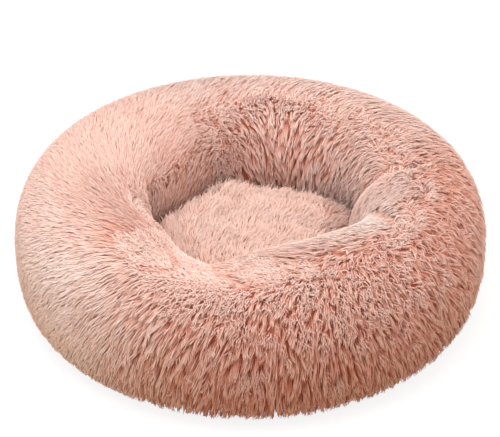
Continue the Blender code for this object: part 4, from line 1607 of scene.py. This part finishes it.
@dataclass
class Zip:
    """The zip round the lower back seam, with its spiral coils, stops, slider and pull."""

    bolster: Bolster
    start: float = 18
    end: float = 162
    turn: float = -40
    tape_width: float = 0.0160
    tape_inner: float = 0.0008
    tape_outer: float = 0.0014
    coil_inner: float = 0.0018
    coil_height: float = 0.0015
    coil_width: float = 0.0022
    coil_gap: float = 0.0005
    coil_pitch: float = 0.0015
    coil_wire: float = 0.00028
    end_margin: float = 0.0080
    metal_round: float = 0.00022

    def coil(self, name: str, side: int, material) -> bpy.types.Object:
        """Make one coil, a flattened spiral of wire that is sewn along its tape.

        Args:
            name: The object's name.
            side: 1 for the upper coil and -1 for the lower one.
            material: Its material.

        Returns:
            The object.
        """
        margin = self.bolster.angle_for(self.end_margin)
        start, end = self.start + margin, self.end - margin
        pitch = self.bolster.angle_for(self.coil_pitch)
        loops = int((end - start) / pitch)
        phase = np.linspace(0, 2 * math.pi * loops, loops * 10)
        angle = start + (end - start) * phase / phase[-1]
        # The loops lean towards each other's gaps, so the two coils mesh along the middle.
        across = self.coil_gap / 2 + self.coil_wire + (1 - np.cos(phase)) / 2 * (
            self.coil_width - 2 * self.coil_wire
        )
        out = self.coil_inner + self.coil_wire + (1 + np.sin(phase)) / 2 * (
            self.coil_height - 2 * self.coil_wire
        )
        shift = pitch / 2 * (side > 0)
        turn = self.turn + side * self.bolster.turns_for(1.0) * across
        path = self.bolster.points(np.clip(angle + shift, start, end), turn, out)
        return tubes(name, path[None], self.coil_wire, 4, material)

    def build(self) -> None:
        """Make the zip's cloth and coils, and dress its metal."""
        cloth = WovenCloth("woven_zip_tape", thread=0.0004, warp="d89c89", weft="c98b77").build()
        nylon = Moulded("drawn_nylon_coil", color="cf9583", worn="deaa99", roughness=0.38).build()
        zinc = TumbledZinc("tumbled_nickel_zinc", color="9f9c98", rubbed="b4b1ac").build()
        reach = self.bolster.turns_for(self.tape_width)
        gap = self.bolster.turns_for(self.coil_gap / 2)
        spans = {"upper": (gap, gap + reach), "lower": (-gap - reach, -gap)}
        for name, (low, high) in spans.items():
            tape = RingLayer(
                f"zip_cloth_{name}",
                self.tape_inner,
                self.tape_outer,
                self.turn + low,
                self.turn + high,
                self.start,
                self.end,
                angle_step=1.0,
                turn_steps=8,
            ).build(self.bolster, cloth)
            settle(tape, Body.BED, Slot.TAPE_CLOTH, f"zip_tape_{name}")
            side = 1 if name == "upper" else -1
            coil = self.coil(f"zip_spiral_{name}", side, nylon)
            settle(coil, Body.BED, Slot.NYLON, f"zip_coil_{name}")
        for node in ("zip_top_stop", "zip_bottom_stop", "zip_slider", "zip_pull"):
            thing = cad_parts[node]
            thing.data.materials.clear()
            thing.data.materials.append(zinc)
            bevel = thing.modifiers.new("tumbled_edges", "BEVEL")
            bevel.width = self.metal_round
            bevel.segments = 2
            bevel.limit_method = "ANGLE"
            LOG.info("%s: metal", node)


@dataclass
class SeatCushion:
    """The lift-out cushion: a puffed pad in short pile, on a cloth base with a welt round it."""

    bolster: Bolster
    clearance: float = 0.0030
    thickness: float = 0.0820
    crown: float = 0.0100
    draw_in: float = 0.0090
    edge_radius: float = 0.0200
    bottom: float = 0.0072
    base_thickness: float = 0.0012
    cloth_gap: float = 0.0004
    slack: float = 0.0140
    voxel: float = 0.0050
    pressure: float = 4.0
    most_swell: float = 0.0080
    frames: int = 20
    fullness: float = 0.6
    fill_gap: float = 0.0025
    welt_radius: float = 0.0016
    base_dip: float = 0.0003
    base_dip_size: float = 0.05
    hang: float = 0.3
    way_wander: float = 0.5
    way_wander_size: float = 0.03
    way_stray: float = 0.22
    lock_gather: float = 0.45
    pile_depths: tuple = (0.86, 1.04)
    pile_reaches: tuple = (0.8, 1.1)
    kink: float = 0.0006
    base_clearance: float = 0.002
    lock_tones: float = 0.5
    fibre_tones: float = 0.3
    least_tone: float = 0.1
    # Painted shade: the cushion's steep sides are deeper.
    side_painted_shade: float = 0.5
    angle_steps: int = 144
    pile: Pile = field(
        default_factory=lambda: Pile(
            spacing=0.00165,
            lock_spacing=0.0046,
            fine_lock_spacing=0.0046,
            depth=0.0095,
            reach=0.0150,
            half_width=0.00042,
            seed=31,
        )
    )
    lean: tuple = (0.45, 0.6)
    roundness: float = 0.35

    def outline(self, angle: np.ndarray) -> np.ndarray:
        """Radius of the cushion, which follows the nest at its narrowest."""
        wall = self.bolster.points(angle, np.full(angle.shape, 180.0), self.bolster.pile_face)
        return np.hypot(wall[..., 0], wall[..., 1]) - self.clearance

    def section(self, angle: np.ndarray, offset: float) -> tuple[np.ndarray, np.ndarray]:
        """Top and side of the cushion from its middle to its lower seam.

        Args:
            angle: Directions round the bed.
            offset: Depth under the pile's face.

        Returns:
            Radius and height by direction and by place along the section.
        """
        radius = self.outline(angle)[:, None] - offset
        edge = self.edge_radius - offset
        low = self.bottom + self.base_thickness + self.cloth_gap
        shoulder = self.bottom + self.thickness - offset - edge
        flat = radius - edge
        shares = np.linspace(0, 0.9, 12)[None, :]
        top = shoulder + edge + self.crown * np.cos(math.pi / 2 * shares)
        turns = np.radians(np.linspace(85, 0, 9))[None, :]
        drops = np.linspace(0.1, 1, 10)[None, :]
        inward = self.draw_in * drops ** 2
        radii = [flat * shares, flat + edge * np.cos(turns), radius - inward]
        heights = [
            np.broadcast_to(top, (len(angle), 12)),
            np.broadcast_to(shoulder + edge * np.sin(turns), (len(angle), 9)),
            np.broadcast_to(shoulder + (low - shoulder) * drops, (len(angle), 10)),
        ]
        return np.concatenate(radii, axis=1), np.concatenate(heights, axis=1)

    def pad(self, material) -> bpy.types.Object:
        """Make the pad, puffed up by a cloth simulation.

        Args:
            material: Its material.

        Returns:
            The object.
        """
        angles = np.arange(self.angle_steps) * 360 / self.angle_steps
        radius, height = self.section(angles, self.slack)
        center = np.zeros((len(angles), 1))
        radius = np.concatenate([radius, center], axis=1)
        height = np.concatenate([height, center + height[:, -1:]], axis=1)
        pad = loft("seat_pad", around_z(radius, angles[:, None], height), material)
        remesh = pad.modifiers.new("even_cloth", "REMESH")
        remesh.mode = "VOXEL"
        remesh.voxel_size = self.voxel
        apply_modifiers(pad)
        self.swell(pad)
        smooth = pad.modifiers.new("smooth_cloth", "SUBSURF")
        smooth.levels = smooth.render_levels = 1
        apply_modifiers(pad)
        return pad

    def swell(self, pad) -> None:
        """Puff the pad with air pressure inside its cloth.

        Args:
            pad: The pad, which keeps its flat underside.
        """
        before = mesh_points(pad)
        normals = np.empty(before.size)
        pad.data.vertices.foreach_get("normal", normals)
        normals = normals.reshape(-1, 3)
        cloth = pad.modifiers.new("swell", "CLOTH")
        cloth.settings.use_pressure = True
        cloth.settings.uniform_pressure_force = self.pressure
        cloth.settings.effector_weights.gravity = 0
        cloth.point_cache.frame_start = 1
        cloth.point_cache.frame_end = self.frames
        for number in range(1, self.frames + 1):
            bpy.context.scene.frame_set(number)
        apply_modifiers(pad)
        bpy.context.scene.frame_set(1)
        out = np.sum((mesh_points(pad) - before) * normals, axis=1, keepdims=True)
        # The fill keeps the cloth from drawing in, so only the way out counts.
        out = np.clip(out, 0, self.most_swell)
        after = before + normals * out
        lowest = before[:, 2].min()
        after[:, 2] = np.maximum(after[:, 2], lowest)
        pad.data.vertices.foreach_set("co", after.ravel())
        pad.data.update()
        LOG.info("seat pad swells by up to %.1f mm", 1000 * float(out.max()))

    def roots(self, spacing: float, seed: int, pad_tree) -> tuple[np.ndarray, np.ndarray]:
        """Scatter places over the pad's top and side.

        Args:
            spacing: Distance between neighbours.
            seed: Seed of the random shifts.
            pad_tree: Search tree of the pad's faces.

        Returns:
            Places on the pad, and the way out of it at each.
        """
        random = np.random.default_rng(seed)
        fine = np.arange(720) / 2.0
        radius, height = self.section(fine, self.slack)
        mean_radius, mean_height = radius.mean(axis=0), height.mean(axis=0)
        steps = np.hypot(np.diff(mean_radius), np.diff(mean_height))
        length = np.concatenate([[0.0], np.cumsum(steps)])
        places = []
        for row in range(int(length[-1] / spacing)):
            at = (row + 0.5) * spacing
            count = max(3, int(2 * math.pi * np.interp(at, length, mean_radius) / spacing))
            along = (np.arange(count) + random.uniform()) / count
            angle = 360 * (along + random.uniform(-0.45, 0.45, count) / count) % 360
            spot = at + random.uniform(-0.5, 0.5, count) * spacing
            share = np.interp(spot, length, np.arange(len(length)))
            low = np.clip(share.astype(int), 0, len(length) - 2)
            part = share - low
            nearest_angle = (angle * 2).astype(int) % len(fine)
            r = radius[nearest_angle, low] * (1 - part) + radius[nearest_angle, low + 1] * part
            z = height[nearest_angle, low] * (1 - part) + height[nearest_angle, low + 1] * part
            places.append(around_z(r, angle, z))
        found = [pad_tree.find_nearest(point) for point in np.concatenate(places)]
        return np.array([f[0] for f in found]), np.array([f[1] for f in found])

    def grow(self, pad) -> Fibres:
        """Grow the pad's short pile.

        Args:
            pad: The finished pad.

        Returns:
            The fibres.
        """
        pile = self.pile
        random = np.random.default_rng(pile.seed)
        tree = BVHTree.FromObject(pad, bpy.context.evaluated_depsgraph_get())
        root, normal = self.roots(pile.spacing, pile.seed + 1, tree)
        lock_root, lock_normal = self.roots(pile.lock_spacing, pile.seed + 2, tree)
        lock = nearest(lock_root, root)
        count, locks = len(root), len(lock_root)
        way = np.zeros((locks, 3))
        way[:, :2] = self.lean
        # On the side, the pile hangs out and down.
        steep = 1 - np.clip(lock_normal[:, 2:], 0, 1)
        way += steep * np.array([0.0, 0.0, -self.hang])
        turns = [waves(lock_root, self.way_wander_size, pile.seed + i) for i in (3, 4, 5)]
        way += self.way_wander * np.stack(turns, axis=1)
        way -= lock_normal * np.sum(way * lock_normal, axis=1, keepdims=True)
        way = way[lock] + random.normal(size=(count, 3)) * self.way_stray
        stations = np.array(pile.stations)[None, :, None]
        depth = pile.depth * random.uniform(*self.pile_depths, (count, 1, 1))
        reach = pile.reach * random.uniform(*self.pile_reaches, (count, 1, 1))
        gather = self.lock_gather * stations ** 0.9
        lines = root[:, None] + normal[:, None] * depth * (1 - (1 - stations) ** 1.7)
        lines = lines + way[:, None] * reach * stations ** 1.3
        lines = lines + (lock_root[lock] - root)[:, None] * gather
        bends = random.normal(size=(count, 1, 3)) * self.kink
        lines = lines + bends * np.sin(stations * math.pi)
        lowest = self.bottom + self.base_thickness + random.uniform(0, self.base_clearance, (count, 1))
        lines[..., 2] = np.maximum(lines[..., 2], lowest)
        tone = self.lock_tones * random.uniform(0, 1, locks)[lock]
        tone = tone + self.fibre_tones * random.uniform(0, 1, count) + self.least_tone
        # The steep sides of the cushion get deeper colour: painted shade.
        tone = np.clip(tone - self.side_painted_shade * steep[lock, 0] ** 2, 0, 1)
        roll = np.radians(random.uniform(-pile.most_roll, pile.most_roll, count))
        return Fibres(lines, normal, tone, roll, np.full(count, self.roundness))

    def base(self, material) -> bpy.types.Object:
        """Make the cloth that closes the cushion underneath.

        Args:
            material: Its material.

        Returns:
            The object.
        """
        angles = np.arange(self.angle_steps) * 360 / self.angle_steps
        rim = self.outline(angles)[:, None] - self.draw_in
        outward = [0, 0.2, 0.4, 0.6, 0.8, 0.9, 0.97, 1.0]
        shares = np.array(outward + outward[::-1])
        high = np.repeat([0.0, 1.0], len(outward))[None, :] * self.base_thickness
        points = around_z(rim * shares[None, :], angles[:, None], 0.0)
        dips = self.base_dip * (1 + waves(points, self.base_dip_size, 5)) * (shares < 0.9)
        points[..., 2] = self.bottom + high + np.maximum(dips, 0)
        return loft("seat_base_cloth", points, material)

    def welt(self, material) -> bpy.types.Object:
        """Make the piped seam round the cushion's lower edge.

        Args:
            material: Its material.

        Returns:
            The object.
        """
        angles = np.arange(361.0)
        height = self.bottom + self.base_thickness / 2 + self.welt_radius / 2
        path = around_z(self.outline(angles) - self.draw_in, angles, height)
        return tubes("seat_welt", path[None], self.welt_radius, 8, material)

    def build(self) -> None:
        """Make the cushion and dress it."""
        knit = WovenCloth("seat_knit_backing", thread=0.0006, warp="dca28f", weft="cf917d").build()
        pile_material = PileFinish(
            name="brushed_polyester_short_pile",
            deep=("d18972", "eebca9", "f4cfc0"),
            pale=("dfa28d", "f7d2c3", "fae4dc"),
        ).build()
        coated = WovenCloth(
            "coated_seat_base_cloth", thread=0.0007, warp="575153", weft="474244", coat=0.1
        ).build()
        piping = WovenCloth("piped_seam_tape", thread=0.0005, warp="dba18e", weft="cb8d79").build()
        fibre = FibreFill("seat_polyester_fibre", color="fbfaf7", shade="e6e4e0").build()
        pad = self.pad(knit)
        settle(pad, Body.SEAT, Slot.SEAT_PILE, "seat_cover_top")
        fibres = self.grow(pad)
        order = np.argsort(fibres.lines[:, 0, 0])
        pieces = math.ceil(len(order) / self.pile.most_fibres)
        for index, chosen in enumerate(np.array_split(order, pieces)):
            name = f"seat_pile_{index + 1:02d}"
            thing = fibre_mesh(name, fibres.part(chosen), self.pile, pile_material)
            settle(thing, Body.SEAT, Slot.SEAT_PILE)
        base = self.base(coated)
        settle(base, Body.SEAT, Slot.COATED_CLOTH, "seat_cover_base")
        across = 2 * float((self.outline(np.arange(360.0)) - self.draw_in).mean())
        settle(self.welt(piping), Body.SEAT, Slot.TAPE_CLOTH)
        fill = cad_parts["seat_fill"]
        fill.data.materials.clear()
        fill.data.materials.append(fibre)
        packed = fill.modifiers.new("packed_in", "DISPLACE")
        packed.strength = -self.fill_gap
        packed.mid_level = 0.0
        LOG.info("seat pile: %d fibres", len(order))


def apply_modifiers(thing) -> None:
    """Put an object's modifiers into its mesh."""
    view = bpy.context.evaluated_depsgraph_get()
    mesh = bpy.data.meshes.new_from_object(thing.evaluated_get(view))
    thing.modifiers.clear()
    thing.data = mesh


def mesh_points(thing) -> np.ndarray:
    """Places of an object's vertices."""
    points = np.empty(len(thing.data.vertices) * 3)
    thing.data.vertices.foreach_get("co", points)
    return points.reshape(-1, 3)


def nearest(targets: np.ndarray, points: np.ndarray) -> np.ndarray:
    """Number of the nearest target to each point."""
    tree = kdtree.KDTree(len(targets))
    for index, target in enumerate(targets):
        tree.insert(target, index)
    tree.balance()
    return np.array([tree.find(point)[1] for point in points])


@dataclass
class Studio:
    """Camera at the photograph's angle, soft lamps and a white floor."""

    distance: float = 1.9
    elevation: float = 33.3
    target: tuple = (0.0, 0.0, 0.1)
    aim_shift: tuple = (-0.0009, 0.0023)
    lens_mm: float = 107.1
    sensor_mm: float = 36.0
    floor_half_width: float = 6.0
    diffuse_bounces: int = 12

    def camera(self) -> None:
        """Place the camera."""
        lean = math.radians(self.elevation)
        back = Vector((0, -math.cos(lean), math.sin(lean)))
        up = Vector((0, math.sin(lean), math.cos(lean)))
        aim = Vector(self.target) + Vector((self.aim_shift[0], 0, 0)) + up * self.aim_shift[1]
        data = bpy.data.cameras.new("photo_camera")
        data.lens = self.lens_mm
        data.sensor_width = self.sensor_mm
        thing = bpy.data.objects.new("photo_camera", data)
        thing.location = Vector(self.target) + back * self.distance
        thing.rotation_euler = (aim - thing.location).to_track_quat("-Z", "Y").to_euler()
        bpy.context.scene.collection.objects.link(thing)
        bpy.context.scene.camera = thing

    def lamp(self, name: str, place: tuple, size: float, watts: float, code: str) -> None:
        """Add a square soft lamp that faces the bed."""
        data = bpy.data.lights.new(name, "AREA")
        data.shape = "SQUARE"
        data.size = size
        data.energy = watts
        data.color = linear(code)[:3]
        thing = bpy.data.objects.new(name, data)
        thing.location = place
        away = Vector(self.target) - Vector(place)
        thing.rotation_euler = away.to_track_quat("-Z", "Y").to_euler()
        bpy.context.scene.collection.objects.link(thing)

    def lamps(self) -> None:
        """Add the lamps: a strong one high over the bed, weak ones at the right and front left."""
        self.lamp("key_lamp", (-0.24, -0.34, 1.9), 1.3, 25.0, "fefeff")
        self.lamp("side_lamp", (1.7, -0.2, 1.1), 1.2, 6.2, "fff4ee")
        self.lamp("front_lamp", (-1.5, -1.2, 0.8), 0.9, 6.0, "fffaf6")

    def world(self) -> None:
        """Give a soft grey light from all round, which the camera sees as white."""
        world = bpy.data.worlds.new("studio_world")
        world.use_nodes = True
        tree = world.node_tree
        tree.nodes.clear()
        seen = add_node(tree, "ShaderNodeLightPath")
        shown = self.seen_direct(tree, seen)
        light = add_node(tree, "ShaderNodeBackground", {"Color": linear("fcf3ee"), "Strength": 0.83})
        white = add_node(tree, "ShaderNodeBackground", {"Color": (1, 1, 1, 1), "Strength": 1.0})
        mixed = add_node(
            tree,
            "ShaderNodeMixShader",
            {0: shown, 1: light.outputs[0], 2: white.outputs[0]},
        )
        add_node(tree, "ShaderNodeOutputWorld", {"Surface": mixed.outputs[0]})
        bpy.context.scene.world = world

    def seen_direct(self, tree, path):
        """Socket that is 1 for rays from the camera, a mirror or a glass."""
        first = add_node(
            tree,
            "ShaderNodeMath",
            {0: path.outputs["Is Camera Ray"], 1: path.outputs["Is Glossy Ray"]},
            operation="MAXIMUM",
        )
        both = add_node(
            tree,
            "ShaderNodeMath",
            {0: first.outputs[0], 1: path.outputs["Is Transmission Ray"]},
            operation="MAXIMUM",
        )
        return both.outputs[0]

    def floor(self) -> None:
        """Lay a white floor that keeps a soft shadow of the bed."""
        half = self.floor_half_width
        mesh = bpy.data.meshes.new("studio_floor")
        corners = [(-half, -half, 0), (half, -half, 0), (half, half, 0), (-half, half, 0)]
        mesh.from_pydata(corners, [], [(0, 1, 2, 3)])
        material = bpy.data.materials.new("white_paper_sweep")
        material.use_nodes = True
        tree = material.node_tree
        tree.nodes.clear()
        seen = add_node(tree, "ShaderNodeLightPath")
        shown = self.seen_direct(tree, seen)
        matte = add_node(tree, "ShaderNodeBsdfDiffuse", {"Color": linear("ac8a64")})
        faint = add_node(tree, "ShaderNodeBsdfDiffuse", {"Color": (0.2, 0.2, 0.2, 1)})
        glow = add_node(tree, "ShaderNodeEmission", {"Strength": 0.84})
        paper = add_node(tree, "ShaderNodeAddShader", {0: faint.outputs[0], 1: glow.outputs[0]})
        mixed = add_node(
            tree,
            "ShaderNodeMixShader",
            {0: shown, 1: matte.outputs[0], 2: paper.outputs[0]},
        )
        add_node(tree, "ShaderNodeOutputMaterial", {"Surface": mixed.outputs[0]})
        mesh.materials.append(material)
        thing = bpy.data.objects.new("studio_floor", mesh)
        bpy.context.scene.collection.objects.link(thing)

    def build(self) -> None:
        """Set up the whole studio."""
        bpy.context.scene.view_settings.view_transform = "Standard"
        bpy.context.scene.cycles.diffuse_bounces = self.diffuse_bounces
        self.camera()
        self.lamps()
        self.world()
        self.floor()
        LOG.info("studio: camera, three lamps, world and floor")


def main() -> None:
    """Build every piece of the bed."""
    logging.basicConfig(level=logging.INFO, format="%(message)s")
    Studio().build()
    bolster = Bolster()
    finish = PileFinish(
        name="brushed_polyester_long_pile",
        deep=("be5d40", "dc8e76", "f4c5b4"),
        pale=("f1bca9", "fbe0d4", "fff6f1"),
    )
    material = finish.build()
    BolsterLayers(bolster).build()
    ring_pile = RingPile(bolster)
    for thing in ring_pile.build(material) + [ring_pile.ground(material)]:
        settle(thing, Body.BED, Slot.RING_PILE)
    FloorPieces(bolster).build()
    SeamTrim(bolster).build()
    Zip(bolster).build()
    SeatCushion(bolster).build()


if __name__ == "__main__":
    main()
